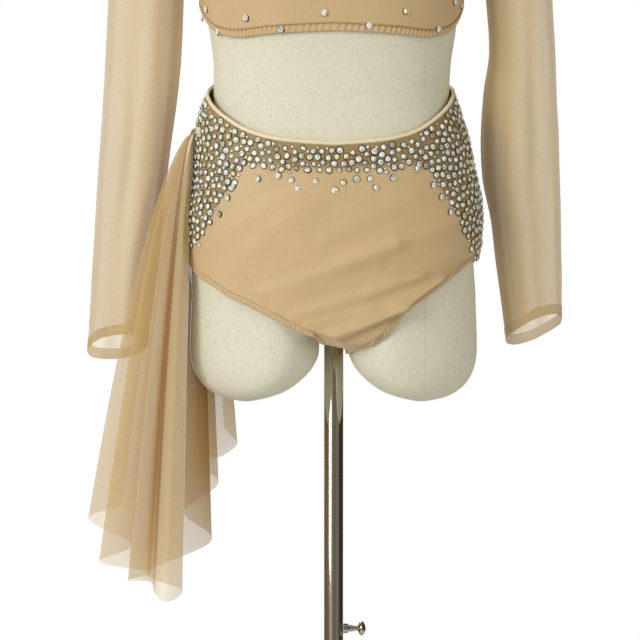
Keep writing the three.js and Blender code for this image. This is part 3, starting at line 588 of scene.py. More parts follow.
# The second colour is the lycra between the stones: partly glue, partly painted shade
LYCRA_COLOUR, GLUE_AND_SHADE_COLOUR = (0.64, 0.455, 0.235), (0.36, 0.25, 0.095)
SATIN_COLOUR, LINEN_COLOUR = (0.90, 0.76, 0.50), (0.76, 0.725, 0.56)
# How much the painted shade under the brief's fold darkens the lycra
PAINTED_FOLD_SHADE = 0.24
# How much the mesh's threads vary its cover, and how much the mask of layers and painted shade adds to
# it
THREAD_SHARE, BUNCHED_COVER = 0.2, 0.46
SLUB_STRETCHES, SLUB_SCALE, SLUB_SHARE = ((1.0, 1.0, 0.22), (0.22, 0.22, 1.0)), 980.0, 0.26
SPECK_SCALE, SPECK_LEVEL, SPECK_EDGE, SPECK_DARKENS = 420.0, 0.36, 5.0, 0.6
PANEL_SEAM_X, SEAM_WANDER, SEAM_SHARPNESS, SEAM_DARKENS = 0.1015, 0.0012, 1400.0, 0.16
LYCRA = lycra_material("nude_lycra")
STONED_LYCRA = lycra_material("nude_lycra_under_stones", stoned=True)
# The second colour of each mesh is for where it lies in layers, and for its painted shade
SLEEVE_MESH = mesh_material("sleeve_mesh", (0.75, 0.56, 0.24), (0.55, 0.36, 0.115), 0.46)
DRAPE_MESH = mesh_material("drape_mesh", (0.80, 0.59, 0.25), (0.31, 0.135, 0.02), 0.43)
CUFF_MESH = mesh_material("cuff_mesh", (0.66, 0.48, 0.21), (0.50, 0.31, 0.08), 0.6)
SATIN = satin_material()
LINEN = linen_material()

# %% [markdown]
# The form is a torso with two short thighs. The three lofts are joined by a voxel remesh,
# which melts their joins into one skin, as a papered form has, and a little smoothing takes
# the voxels' steps away.

# %% The linen form
def loft(name, rings):
    """A closed body from stacked rings of points, shape (rings, around, 3)."""
    rows, around = rings.shape[:2]
    mesh = bpy.data.meshes.new(name)
    j, i = np.meshgrid(np.arange(rows - 1), np.arange(around), indexing="ij")
    faces = np.stack(grid_corners(j, i, around), -1)
    ends = [list(range(around))[::-1], [(rows - 1) * around + k for k in range(around)]]
    mesh.from_pydata(rings.reshape(-1, 3).tolist(), [], faces.reshape(-1, 4).tolist() + ends)
    return mesh


def thigh_rings(side, heights):
    around = THIGH_SIDES
    z = heights[:, None]
    turn = 2 * np.pi * (np.arange(around) + 0.5)[None] / around
    inner, outer = read(THIGH, "z", z, "inner"), read(THIGH, "z", z, "outer")
    half = (outer - inner) / 2
    x = inner + half + half * np.sin(turn) * side
    is_front = np.cos(turn) > 0
    depth = np.where(is_front, read(THIGH, "z", z, "front"), read(THIGH, "z", z, "back"))
    rounding = np.minimum(INNER_ROUNDING, half * INNER_ROUNDING_SHARE)

    def squared(share):
        return (1 - np.clip(share, 0, 1) ** SQUARENESS) ** (1 / SQUARENESS)

    y = depth * squared(x / outer) * squared(1 - (x - inner) / rounding)
    return np.stack([side * x, np.where(is_front, -y, y), z + 0 * x], -1) * MM


def linen_form():
    shape = bmesh.new()
    heights = np.linspace(BODY["z"][0], BODY["z"][-1], TORSO_RINGS)
    turns = np.arange(TORSO_SIDES) * 360 / TORSO_SIDES
    torso = on_body(BODY, turns[None], heights[:, None])
    torso[-1] = torso[-1] * (CROWN_SHARE, CROWN_SHARE, 1)
    parts = [loft("torso", torso)]
    parts += [loft(f"thigh_{side}", thigh_rings(side, THIGH_HEIGHTS)) for side in (-1, 1)]
    for part in parts:
        shape.from_mesh(part)
        bpy.data.meshes.remove(part)
    bmesh.ops.recalc_face_normals(shape, faces=shape.faces)
    mesh = bpy.data.meshes.new("form_body_linen")
    shape.to_mesh(mesh)
    shape.free()
    form = linked_object("form_body_linen", mesh)
    skin = form.modifiers.new("one_skin", "REMESH")
    skin.mode = "VOXEL"
    skin.voxel_size = VOXEL
    soft = form.modifiers.new("soften", "SMOOTH")
    soft.factor, soft.iterations = SOFTEN_SHARE, SOFTEN_TIMES
    plain = as_plain(form, "form_body_linen")
    plain.data.materials.append(LINEN)
    plain.data.polygons.foreach_set("use_smooth", np.ones(len(plain.data.polygons), bool))
    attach(plain, "form")
    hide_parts("form_body")


TORSO_RINGS, TORSO_SIDES, CROWN_SHARE = 180, 128, 0.93
THIGH_SIDES, INNER_ROUNDING, INNER_ROUNDING_SHARE = 64, 60.0, 1.6
# Close rings where the thigh's end rounds off, wider ones above
THIGH_HEIGHTS = np.concatenate([np.linspace(735, 760, 12), np.linspace(765, 850, 16)])
VOXEL, SOFTEN_SHARE, SOFTEN_TIMES = 0.0045, 0.5, 6
linen_form()

# %% [markdown]
# The crop top's front and back are spanned between a middle line, which runs on into the
# neckline, and a side line, which runs on into the armhole. A band with elastic in it closes
# the hem. The same outlines in the rigid model make its walls.

# %% The crop top
TOP_HEM = table("turn z", [
    (0, 1158.5), (25, 1155), (45, 1151), (60, 1155), (72, 1165), (85, 1180), (95, 1187),
    (130, 1194), (180, 1196)])
NECK_SIDE = table("up turn z", [
    (0, 0, 1158.5), (0.3, 0, 1238), (0.6, 0, 1322), (0.7, 22, 1331), (0.8, 44, 1356),
    (0.9, 68, 1396), (1, 89.6, 1421)])
ARM_SIDE = table("up turn z", [
    (0, 89.6, 1184), (0.3, 89.6, 1228), (0.5, 89.6, 1268), (0.6, 72, 1284), (0.72, 64, 1312),
    (0.86, 70, 1346), (1, 89.6, 1381)])
BAND_HEIGHT, SEAM_GAP = 8.0, 0.4
BAND_ROWS, BAND_COLUMNS, BAND_PUCKERS, PUCKER_DEPTH, BAND_SWELL = 7, 900, 140, 0.75, 0.6
NECK_RISE_BACK = 52.0


def top_half(side, is_back, across=36, along=90):
    u = np.linspace(0, 1, across + 1)[None]
    v = np.linspace(0, 1, along + 1)[:, None]
    neck_turn, neck_z = read(NECK_SIDE, "up", v, "turn"), read(NECK_SIDE, "up", v, "z")
    arm_turn, arm_z = read(ARM_SIDE, "up", v, "turn"), read(ARM_SIDE, "up", v, "z")
    if is_back:
        rise = np.clip((v - 0.3) / 0.3, 0, 1) * np.clip((1 - v) / 0.4, 0, 1)
        neck_z = neck_z + NECK_RISE_BACK * rise
    turn = neck_turn + (arm_turn - neck_turn) * u
    bottom = u * ARM_SIDE["turn"][0]
    hem = read(TOP_HEM, "turn", 180 - bottom if is_back else bottom, "z") + BAND_HEIGHT + SEAM_GAP
    straight = NECK_SIDE["z"][0] + (ARM_SIDE["z"][0] - NECK_SIDE["z"][0]) * u
    z = neck_z + (arm_z - neck_z) * u + (hem - straight) * (1 - v) ** 2
    return on_body(TOP, side * (180 - turn if is_back else turn), z)


def crop_top_panel(name, node, is_back):
    halves = [grid_mesh(f"{name}_half", top_half(side, is_back), [LYCRA],
                        flip=(side < 0) != is_back) for side in (1, -1)]
    with_both = {"object": halves[0], "active_object": halves[0], "selected_editable_objects": halves}
    with bpy.context.temp_override(**with_both):
        bpy.ops.object.join()
    piece = halves[0]
    piece.name = name
    merge_close(piece)
    give_wall(piece, LYCRA_WALL)
    half = top_half(1, is_back)
    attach(piece, "form")
    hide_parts(node)


crop_top_panel("top_front_lycra", "top_front", False)
crop_top_panel("top_back_lycra", "top_back", True)


def fold(turn):
    """A turn of any size as its distance from the front centre, 0 to 180."""
    return np.abs((np.asarray(turn, float) + 540) % 360 - 180)


def underbust_band():
    """A band round the body whose elastic draws it into short upright puckers."""
    turn = np.arange(BAND_COLUMNS)[None] * 360 / BAND_COLUMNS
    v = np.linspace(0, 1, BAND_ROWS)[:, None]
    z = read(TOP_HEM, "turn", fold(turn), "z") + v * BAND_HEIGHT
    wave = np.sin(np.radians(turn) * BAND_PUCKERS + 1.7 * np.sin(np.radians(turn) * 11))
    swell = PUCKER_DEPTH * wave * np.sin(np.pi * v) ** 0.7 + BAND_SWELL * np.sin(np.pi * v)
    points = on_body(TOP, turn, z, swell)
    piece = grid_mesh("underbust_band_lycra", points, [LYCRA], closed=True, thickness=LYCRA_WALL)
    finish_cloth(piece, points, ["underbust_band"],
                 closed=True)


underbust_band()

# %% [markdown]
# A sleeve is a tube of rings. The first ring is the armhole, the next four turn it downwards
# over the form's shoulder, and the rest hang. Long soft folds run down it, deeper above the
# elbow, and the cuff's rim is lower in front than behind.

# %% The sleeves
SLEEVE_LEFT = table("down inner outer y half", [
    (-1240, 170, 254.5, 17, 47), (-1195, 172, 258, 22, 43), (-1086, 180.5, 265.5, 34, 40),
    (-1003, 191.5, 273, 44, 38), (-890, 206, 281, 55, 34), (-793, 218, 288.3, 60, 30)])
SLEEVE_RIGHT = table("down inner outer y half", [
    (-1240, 169.5, 248, 16, 47), (-1195, 174, 250, 20, 43), (-1132, 179, 254.5, 25, 41),
    (-1086, 174, 256.5, 28, 41), (-1030, 172, 259.5, 32, 40), (-992, 173.5, 261.5, 35, 38),
    (-938, 183, 264, 39, 36), (-902, 187.5, 265, 42, 34), (-856, 195, 266, 44, 32),
    (-813, 202, 266, 46, 30)])
SLEEVE_FOLDS = table("turn depth spread", [
    (38, 3.4, 13), (78, -3, 12), (112, 3.2, 14), (152, -2.6, 14), (205, 3, 16), (250, -2.8, 15),
    (300, 3, 16), (340, -2.4, 14)])
SLEEVE_HEAD = table("inner innerZ outer outerZ y half", [
    (162, 1264, 198, 1373, 3, 54), (164, 1255, 228, 1347, 8, 53), (167, 1246, 247, 1302, 12, 51),
    (170, 1238, 256, 1264, 15, 49)])
SLEEVES = {
    "left": dict(side=-1, sizes=SLEEVE_LEFT, rim=790, rise_out=-3, rise_back=11),
    "right": dict(side=1, sizes=SLEEVE_RIGHT, rim=812, rise_out=14.5, rise_back=7.5)}
CUFF_HEIGHT = 12.5
ARMHOLE_FROM, ARMHOLE_STANDS_OUT = 0.5, 0.0009
# The sleeve hangs from here, and tips to its slanting rim from the second height down
HANGS_FROM, TIPS_FROM, FIRST_HANGING_RING = 1240, 1000, 1205
HANGING_RINGS, SLEEVE_ROWS, CUFF_ROWS = 46, 190, 9
# The folds grow over a length below the shoulder, wander as they hang, and calm at the cuff
FOLDS_GROW_OVER, WANDER_GROWS_OVER, WANDER, WANDER_LENGTH, CUFF_CALM = 120, 200, 9, 47.0, 0.45
# Painted shade on the sleeve: how much browner it is towards the body, in its valleys, and all over on
# the right
BODY_SIDE_SHADE, VALLEY_SHADE, RIGHT_SIDE_SHADE = 0.68, 0.35, 0.14


def ring_points(side, inner, inner_z, outer, outer_z, y, half, turn, swell):
    out, ahead = np.cos(np.radians(turn)), np.sin(np.radians(turn))
    grow = 1 + swell / half
    reach = out * grow
    x = side * ((inner + outer) / 2 + (outer - inner) / 2 * reach)
    z = (inner_z + outer_z) / 2 + (outer_z - inner_z) / 2 * reach
    return np.stack([x, y - half * ahead * grow, z], -1) * MM


def fold_swell(turn, wander=0.0):
    swell = np.zeros_like(turn, float)
    for at, depth, spread in zip(*SLEEVE_FOLDS.values()):
        away = np.abs((turn - at - wander + 540) % 360 - 180)
        swell = swell + depth * np.exp(-(away / spread) ** 2)
    return swell


def armhole_points(side, turn):
    is_back = turn > 180
    up = 1 - (1 - ARMHOLE_FROM) * np.where(is_back, 360 - turn, turn) / 180
    edge = read(ARM_SIDE, "up", up, "turn")
    points = on_body(TOP, side * np.where(is_back, 180 - edge, edge), read(ARM_SIDE, "up", up, "z"))
    points[..., 0] += side * ARMHOLE_STANDS_OUT
    return points


def hanging_points(sleeve, z, turn, tilt):
    down = -z + 0 * turn
    inner, outer, y, half = (
        read(sleeve["sizes"], "down", down, column) for column in ("inner", "outer", "y", "half"))
    depth = np.clip((HANGS_FROM - z) / FOLDS_GROW_OVER, 0, 1) * (1 - CUFF_CALM * tilt)
    wander = WANDER * np.sin(z / WANDER_LENGTH + 1.3 * sleeve["side"])
    wander = wander * np.clip((HANGS_FROM - z) / WANDER_GROWS_OVER, 0, 1)
    swell = fold_swell(turn, wander) * depth
    points = ring_points(sleeve["side"], inner, z, outer, z, y, half, turn, swell)
    out, ahead = np.cos(np.radians(turn)), np.sin(np.radians(turn))
    points[..., 2] += tilt * (sleeve["rise_out"] * out - sleeve["rise_back"] * ahead) * MM
    return points


def smooth_rows(rows, count):
    """More rows between some rows of points, along a smooth curve through all of them."""
    rows = np.array(rows)
    gaps = np.linalg.norm(np.diff(rows, axis=0), axis=-1).mean(1)
    at = np.concatenate([[0], np.cumsum(gaps)])
    wanted = np.linspace(0, at[-1], count)
    slope = np.gradient(rows, at, axis=0)
    i = np.clip(np.searchsorted(at, wanted, side="right") - 1, 0, len(at) - 2)
    span = (at[i + 1] - at[i])[:, None, None]
    return eased(rows, slope, i, (wanted - at[i])[:, None, None] / span, span)


def sleeve_and_cuff(name, sleeve, around=160):
    turn = np.arange(around) * 360 / around
    cuff_top = sleeve["rim"] + CUFF_HEIGHT
    last = {column: values[3] for column, values in SLEEVE_HEAD.items()}
    first_outer = SLEEVE_HEAD["outer"][0]
    wider = read(sleeve["sizes"], "down", -last["innerZ"], "outer") - last["outer"]
    rows = [armhole_points(sleeve["side"], turn)]
    for inner, inner_z, outer, outer_z, y, half in zip(*SLEEVE_HEAD.values()):
        share = (outer - first_outer) / (last["outer"] - first_outer)
        outer = outer + share * wider
        rows.append(ring_points(
            sleeve["side"], inner, inner_z, outer, outer_z, y, half, turn, 0 * turn))
    for z in np.linspace(FIRST_HANGING_RING, cuff_top + SEAM_GAP, HANGING_RINGS):
        tilt = np.clip((TIPS_FROM - z) / (TIPS_FROM - cuff_top), 0, 1) ** 2
        rows.append(hanging_points(sleeve, z, turn, tilt))
    points = smooth_rows(rows, SLEEVE_ROWS)
    is_right = sleeve["side"] > 0
    tube = grid_mesh(f"sleeve_{name}_mesh", points, [SLEEVE_MESH], closed=True, flip=is_right)
    least, most = points[..., 0].min(1, keepdims=True), points[..., 0].max(1, keepdims=True)
    towards_body = (points[..., 0] - least) / (most - least)
    if is_right:
        towards_body = 1 - towards_body
    # Painted shade: browner towards the body, in the folds' valleys and all over the right sleeve
    bunching_and_shade = np.clip(1.25 * (towards_body - 0.35), 0, 1) ** 1.3 * BODY_SIDE_SHADE
    valley_shade = np.clip(-fold_swell(turn) / 3, 0, 1)[None] * VALLEY_SHADE
    set_attribute(tube, "bunching_and_shade", bunching_and_shade + valley_shade + (RIGHT_SIDE_SHADE if is_right else 0.0))
    finish_cloth(tube, points, [f"sleeve_{name}"],
                 closed=True)
    heights = np.linspace(cuff_top, sleeve["rim"], CUFF_ROWS)
    cuff = np.array([hanging_points(sleeve, z, turn, 1.0) for z in heights])
    band = grid_mesh(
        f"cuff_{name}_mesh", cuff, [CUFF_MESH], closed=True, thickness=HEM_WALL, flip=is_right)
    finish_cloth(band, cuff, [f"cuff_{name}"],
                 closed=True)


for sleeve_name, sleeve_facts in SLEEVES.items():
    sleeve_and_cuff(sleeve_name, sleeve_facts)

# %% [markdown]
# The brief is two panels on their own oval sections, which stand off the form at the waist.
# Its lower edge is the leg line, a height for each angle round the body. Creases are raised
# or sunk bands between two points, as a stretched knit shows where it is pulled.

# %% The brief's panels
WAIST = table("turn z", [
    (0, 1034), (20, 1039), (34, 1047), (49, 1061), (62, 1072.5), (76, 1083), (90, 1090),
    (105, 1095), (130, 1100), (180, 1103)])
LEG_LINE_FRONT = table("turn z", [
    (-90, 899), (-80, 896), (-64, 882), (-52, 873), (-42, 862), (-31, 852), (-24, 843),
    (-19, 837), (-12, 826), (-6, 818), (-1.5, 813), (1.5, 806), (4.5, 801.5), (8, 802),
    (12, 808), (16.5, 818.5), (25.5, 846), (35.5, 863), (48.5, 879), (64, 895), (80, 903), (90, 904)])
LEG_LINE_BACK = table("turn z", [
    (90, 899), (104, 888), (122, 868), (138, 848), (150, 832), (162, 816), (172, 806), (180, 803)])
CREASES = table("x0 z0 x1 z1 rise above below", [
    (2, 818, 73, 848, 8, 12, 2.6), (73, 848, 118, 876, 5.2, 10, 2.6), (-60, 862, 70, 930, 2, 13, 13),
    (40, 868, 158, 913, 2.4, 10, 6), (-110, 900, -10, 985, 1.6, 14, 14), (60, 896, 160, 896, -1.8, 7, 7),
    (-80, 868, 66, 922, 2.2, 7, 9), (-46, 842, 96, 888, 2.4, 6, 9), (-28, 832, 40, 850, 2, 5, 7),
    (14, 902, 140, 948, 1.8, 7, 9), (-128, 930, -30, 992, 1.4, 8, 10), (-10, 930, 90, 975, 1.4, 8, 10),
    (86, 884, 164, 901, 1.6, 3, 4)])
# Painted shade: a dark line under the fold that hangs over the leg line, and a darker band where the
# cloth is drawn in
FOLD_SHADE = table("x0 z0 x1 z1 rise above below", [
    (8, 817, 73, 848, 1.0, 1.6, 4.5), (73, 848, 104, 866, 0.8, 1.6, 4), (66, 893, 160, 893, 0.3, 3, 3)])
LEG_BAND_WIDTH = 6.0
PANEL_ROWS, FRONT_COLUMNS, BACK_COLUMNS = 150, 260, 180
# Gaps of the panel at the leg band and of its top under the piping, as a share of its radius
PANEL_GAP, PIPING_OVERLAP = 0.3, 0.6
# The darker colour between the stones, partly glue and partly painted shade, starts this far above the
# lowest stones, and the fold's painted shade below its edge
GLUE_AND_SHADE_FROM, GLUE_AND_SHADE_FADE, SHADE_BELOW_FOLD = 2, 7, 2.6
PIPING_RADIUS = 2.2
GUSSET_FROM, GUSSET_TO, GUSSET_BACK = -6.0, 12.0, 172.0
LEG_BAND_COLUMNS, LEG_RUCHES, RUCHE_DEPTH, LEG_BAND_SWELL = 700, 150, 0.3, 0.45


def leg_line(turn):
    turn = np.asarray(turn, float)
    front = np.abs(turn) <= 90
    return np.where(front, read(LEG_LINE_FRONT, "turn", np.where(front, turn, 0), "z"),
                    read(LEG_LINE_BACK, "turn", fold(turn), "z"))


def waist_line(turn):
    return read(WAIST, "turn", fold(turn), "z")


def edge_height(turn, inset):
    """The height of a line that runs inside the leg line at a distance from it."""
    before, after = (on_body(BRIEF, turn + step, leg_line(turn + step)) for step in (-1, 1))
    run = np.hypot(after[..., 0] - before[..., 0], after[..., 1] - before[..., 1])
    steep = np.hypot(1, (after[..., 2] - before[..., 2]) / run)
    return leg_line(turn) + inset * np.minimum(steep, 2.2)


def crease_lift(x, z, creases):
    lift = np.zeros_like(x)
    for x0, z0, x1, z1, rise, above, below in zip(*creases.values()):
        run_x, run_z = x1 - x0, z1 - z0
        length = math.hypot(run_x, run_z)
        along = ((x - x0) * run_x + (z - z0) * run_z) / length ** 2
        past = np.maximum(0, np.maximum(-along, along - 1)) * length
        aside = ((z - z0) * run_x - (x - x0) * run_z) / length
        spread = np.where(aside > 0, above, below)
        lift = lift + rise * np.exp(-(aside / spread) ** 2 - (past / above) ** 2)
    return lift


STONES_DOWN_TO = table("turn z", [
    (0, 1001), (18, 1003), (33, 1007), (38, 1001), (42, 984), (48, 962), (52, 946), (58, 926),
    (68, 912), (78, 902), (90, 900), (104, 906), (118, 938), (132, 1005), (150, 1030), (180, 1036)])


def brief_point(turn, z):
    """Points of the brief with its creases."""
    points = on_body(BRIEF, turn, z)
    lift = crease_lift(points[..., 0] / MM, z + 0 * turn, CREASES)
    high = waist_line(turn) - PIPING_RADIUS
    lift = lift * np.clip((high - z) / 40, 0, 1) * (np.abs(turn) <= 90)
    return points + outward(points) * lift[..., None] * MM


def brief_panel(name, node, first, last, across):
    turn = np.linspace(first, last, across)[None]
    low = edge_height(turn, LEG_BAND_WIDTH + PANEL_GAP)
    high = waist_line(turn) - PIPING_RADIUS * PIPING_OVERLAP
    z = low + (high - low) * np.linspace(0, 1, PANEL_ROWS)[:, None]
    points = brief_point(turn + 0 * z, z)
    piece = grid_mesh(name, points, [STONED_LYCRA], thickness=LYCRA_WALL)
    above = z - read(STONES_DOWN_TO, "turn", fold(turn), "z")
    set_attribute(piece, "stoned", np.clip((above - GLUE_AND_SHADE_FROM) / GLUE_AND_SHADE_FADE, 0, 1) + 0 * turn)
    x = points[..., 0] / MM
    # Painted shade below the fold's edge and in the drawn-in crease
    under_fold = crease_lift(x, z + SHADE_BELOW_FOLD + 0 * turn, FOLD_SHADE)
    under_fold = under_fold * (np.abs(turn) <= 90)
    set_attribute(piece, "shade", np.clip(under_fold, 0, 1))
    finish_cloth(piece, points, [node])


brief_panel("brief_front_lycra", "brief_front", -89.9, 89.9, FRONT_COLUMNS)
brief_panel("brief_back_lycra", "brief_back", 90.1, 269.9, BACK_COLUMNS)

# %% [markdown]
# The gusset runs between the legs from the front panel's point to the back one's. A band of
# folded cloth with elastic in it goes round each leg, along the panels and the gusset's side.

# %% The gusset and the leg bands
GUSSET = table("y leftX leftZ rightX rightZ", [
    (-58, -8, 806, 22.5, 798), (-40, 4, 811, 17, 793), (-18, 13.2, 816, 13.9, 791),
    (0, 13.2, 817, 13.9, 791), (18, 13.2, 816, 13.9, 791), (42, 2, 812, 16.5, 795),
    (66, -16, 811, 18, 804)])


def gusset_ends():
    left = np.stack([GUSSET["leftX"], GUSSET["y"], GUSSET["leftZ"]], -1) * MM
    right = np.stack([GUSSET["rightX"], GUSSET["y"], GUSSET["rightZ"]], -1) * MM
    return left, right


def gusset():
    left, right = gusset_ends()
    width = np.linalg.norm(right - left, axis=-1)
    share = (LEG_BAND_WIDTH * MM / width)[:, None, None]
    u = np.linspace(0, 1, 24)[None, :, None]
    across = share + (1 - 2 * share) * u
    middle = left[:, None] * (1 - across) + right[:, None] * across
    front_turn = GUSSET_FROM + 0.6 + (GUSSET_TO - GUSSET_FROM - 1.2) * u[0, :, 0]
    back_turn = 180 + (1 - 2 * u[0, :, 0]) * (180 - GUSSET_BACK - 0.5)
    front = on_body(BRIEF, front_turn, edge_height(front_turn, LEG_BAND_WIDTH))
    back = on_body(BRIEF, back_turn, edge_height(back_turn, LEG_BAND_WIDTH))
    points = smooth_rows([front, *middle, back], 90)
    piece = grid_mesh("brief_gusset_lycra", points, [LYCRA], thickness=LYCRA_WALL)
    finish_cloth(piece, points, ["brief_gusset"])


gusset()


def leg_turns(side, count):
    """Turns round one leg opening, from the gusset's front end to its back end."""
    return side * np.linspace(-GUSSET_FROM if side < 0 else GUSSET_TO, GUSSET_BACK, count)


def band_edges(side, turn, inset):
    """The outer and the inner edge of a leg band, along the panels and then the gusset."""
    left, right = gusset_ends()
    near, far = (left[::-1], right[::-1]) if side < 0 else (right[::-1], left[::-1])
    share = (LEG_BAND_WIDTH * MM / np.linalg.norm(far - near, axis=-1))[:, None]
    edge = np.concatenate([on_body(BRIEF, turn, edge_height(turn, inset)), near])
    panel_side = on_body(BRIEF, turn, edge_height(turn, LEG_BAND_WIDTH))
    return edge, np.concatenate([panel_side, near + (far - near) * share])


def smooth_loop(columns, count):
    """Some closed lines side by side, each smoothed to the same number of points."""
    ring = np.stack(columns, 1)
    return smooth_rows(np.concatenate([ring, ring[:1]]), count + 1)[:-1]


def leg_band(name, node, side):
    """The hem round one leg opening, drawn up by its elastic into fine ruching."""
    edge, inner = band_edges(side, leg_turns(side, 34)[:-1], 0.0)
    fine = smooth_loop([edge, inner, edge], LEG_BAND_COLUMNS)[:, :2]
    v = np.linspace(0, 1, 7)[:, None, None]
    points = fine[None, :, 0] * (1 - v) + fine[None, :, 1] * v
    along = np.linspace(0, 2 * np.pi, fine.shape[0], endpoint=False)[None]
    wave = RUCHE_DEPTH * np.sin(along * LEG_RUCHES + 2.3 * np.sin(along * 17))
    lift = ((wave + LEG_BAND_SWELL) * np.sin(np.pi * v[..., 0]))[..., None] * MM
    points = points + outward(points) * lift
    piece = grid_mesh(name, points, [LYCRA], closed=True, thickness=HEM_WALL, flip=side > 0)
    finish_cloth(piece, points, [node], closed=True)


leg_band("leg_band_left_lycra", "leg_band_left", -1)
leg_band("leg_band_right_lycra", "leg_band_right", 1)

# %% [markdown]
# The waist is bound in satin cut on the bias, rolled to a round piping. It is a tube round
# the waist line, with slight slanting pulls in the satin.

# %% The satin binding
BINDING_COLUMNS, BINDING_SIDES = 720, 16


def waist_binding():
    turn = np.arange(BINDING_COLUMNS) * 360 / BINDING_COLUMNS
    middle = on_body(BRIEF, turn, waist_line(turn))
    out = outward(middle)
    angle = np.arange(BINDING_SIDES)[:, None] * 2 * np.pi / BINDING_SIDES
    round_waist = np.radians(turn)[None]
    pull = 1 + 0.05 * np.sin(round_waist * 90 + angle) + 0.03 * np.sin(round_waist * 37)
    radius = PIPING_RADIUS * MM * pull
    points = middle[None] + out[None] * (radius * np.cos(angle))[..., None]
    points[..., 2] += radius * np.sin(angle)
    ring = np.concatenate([points, points[:1]])
    piece = grid_mesh("waist_binding_satin", ring, [SATIN], closed=True, flip=True)
    merge_close(piece)
    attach(piece, "form")
    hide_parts("waist_binding")


waist_binding()

# %% [markdown]
# The drape is one piece of sheer mesh, gathered to a hand's width at the hip. Each ridge and
# valley of it has a place at the hem, and runs up a widening curve to its place in the
# gathers. Near the gathers short waves of painted shade stand for small folds, and fade out as the cloth
# opens.

# %% The side drape
DRAPE_TOP_Z = 1041.0
DRAPE_FLARE = 0.62
# How far it keeps off the brief and off the thigh, in millimetres
BRIEF_CLEARANCE, THIGH_CLEARANCE = 4.0, 1.6
# The hips' half-width and half-depth in metres, to tell which way round a point lies
HIP_WIDTH, HIP_DEPTH = 0.168, 0.115
DRAPE = table("x y z topTurn topOut", [
    (-132, 150, 682, -108.5, 2.2), (-122, 131, 673.5, -107, 3), (-115, 112, 667, -105.5, 3.6),
    (-132, 92, 656, -104, 3.2), (-162, 72, 649, -102, 2.2), (-135, 46, 630.5, -98.5, 3.4),
    (-174, 16, 601.5, -95.5, 2.2), (-141.5, -14, 572.5, -92, 3.4), (-213, -46, 542, -88.5, 2.2),
    (-172.5, -76, 527.5, -83, 2.4), (-188, -98, 518, -80, 4.4), (-202, -84, 524.5, -81, 6.6),
    (-209.5, -56, 533, -84, 5.6), (-234.5, -62, 536, -86, 7.4), (-211, -34, 540, -89, 5.8),
    (-268, -48, 554.5, -92.5, 7.6), (-233, -14, 568, -96.5, 5.8), (-283.5, -8, 597, -100, 8),
    (-246.5, 18, 608, -104, 6)])
# Painted shade on each bend of the drape: the ones tucked behind others are the darkest
DRAPE_BEND_SHADE = table("bend depth", [
    (0, 0.55), (3, 0.6), (5, 0.65), (6, 0.5), (6.6, 0.7), (7, 1.0), (7.5, 0.45), (8, 0.5), (8.6, 0.3),
    (9, 0.1), (10.5, 0.0), (10.9, 0.35), (11.2, 1.0), (12.1, 1.0), (12.4, 0.1), (13.5, 0.1), (14, 0.5),
    (14.6, 0.05), (15.5, 0.05), (16, 0.3), (16.6, 0.0), (18, 0.1)])


def clear_of_hip(points):
    """Points of the drape moved out of the brief and the thigh."""
    z = points[..., 2] / MM
    power = SQUARENESS / 2
    sideways = np.sign(points[..., 0]) * np.abs(points[..., 0] / HIP_WIDTH) ** power
    forwards = -np.sign(points[..., 1]) * np.abs(points[..., 1] / HIP_DEPTH) ** power
    turn = np.degrees(np.arctan2(sideways, forwards))
    over_brief = np.clip((z - leg_line(turn) + 30) / 20, 0, 1)
    over_brief = over_brief * over_brief * (3 - 2 * over_brief)
    low = np.clip(z, THIGH["z"][0], THIGH["z"][-1])
    high = np.clip(z, BODY["z"][1], None)
    on_thigh = z < THIGH["z"][-1]
    width = np.where(on_thigh, read(THIGH, "z", low, "outer"), read(BODY, "z", high, "left"))
    width = width + (read(BRIEF, "z", z, "left") - width) * over_brief
    depths = []
    for side in ("front", "back"):
        depth = np.where(on_thigh, read(THIGH, "z", low, side), read(BODY, "z", high, side))
        depths.append(depth + (read(BRIEF, "z", z, side) - depth) * over_brief)
    depth = np.where(points[..., 1] < 0, *depths)
    spare = THIGH_CLEARANCE + (BRIEF_CLEARANCE - THIGH_CLEARANCE) * over_brief
    x, y = points[..., 0] / MM / (width + spare), points[..., 1] / MM / (depth + spare)
    reach = (np.abs(x) ** SQUARENESS + np.abs(y) ** SQUARENESS) ** (1 / SQUARENESS)
    grow = np.where((reach < 1) & (z > THIGH["z"][0]), 1 / np.maximum(reach, 1e-6), 1.0)
    return points * np.stack([grow, grow, np.ones_like(grow)], -1)


def through(points, at):
    """Points along a smooth curve through some points, counted from the first."""
    ahead = np.concatenate([points[1:], 2 * points[-1:] - points[-2:-1]])
    behind = np.concatenate([2 * points[:1] - points[1:2], points[:-1]])
    slope = (ahead - behind) / 2
    i = np.clip(at.astype(int), 0, len(points) - 2)
    return eased(points, slope, i, (at - i)[..., None], 1)


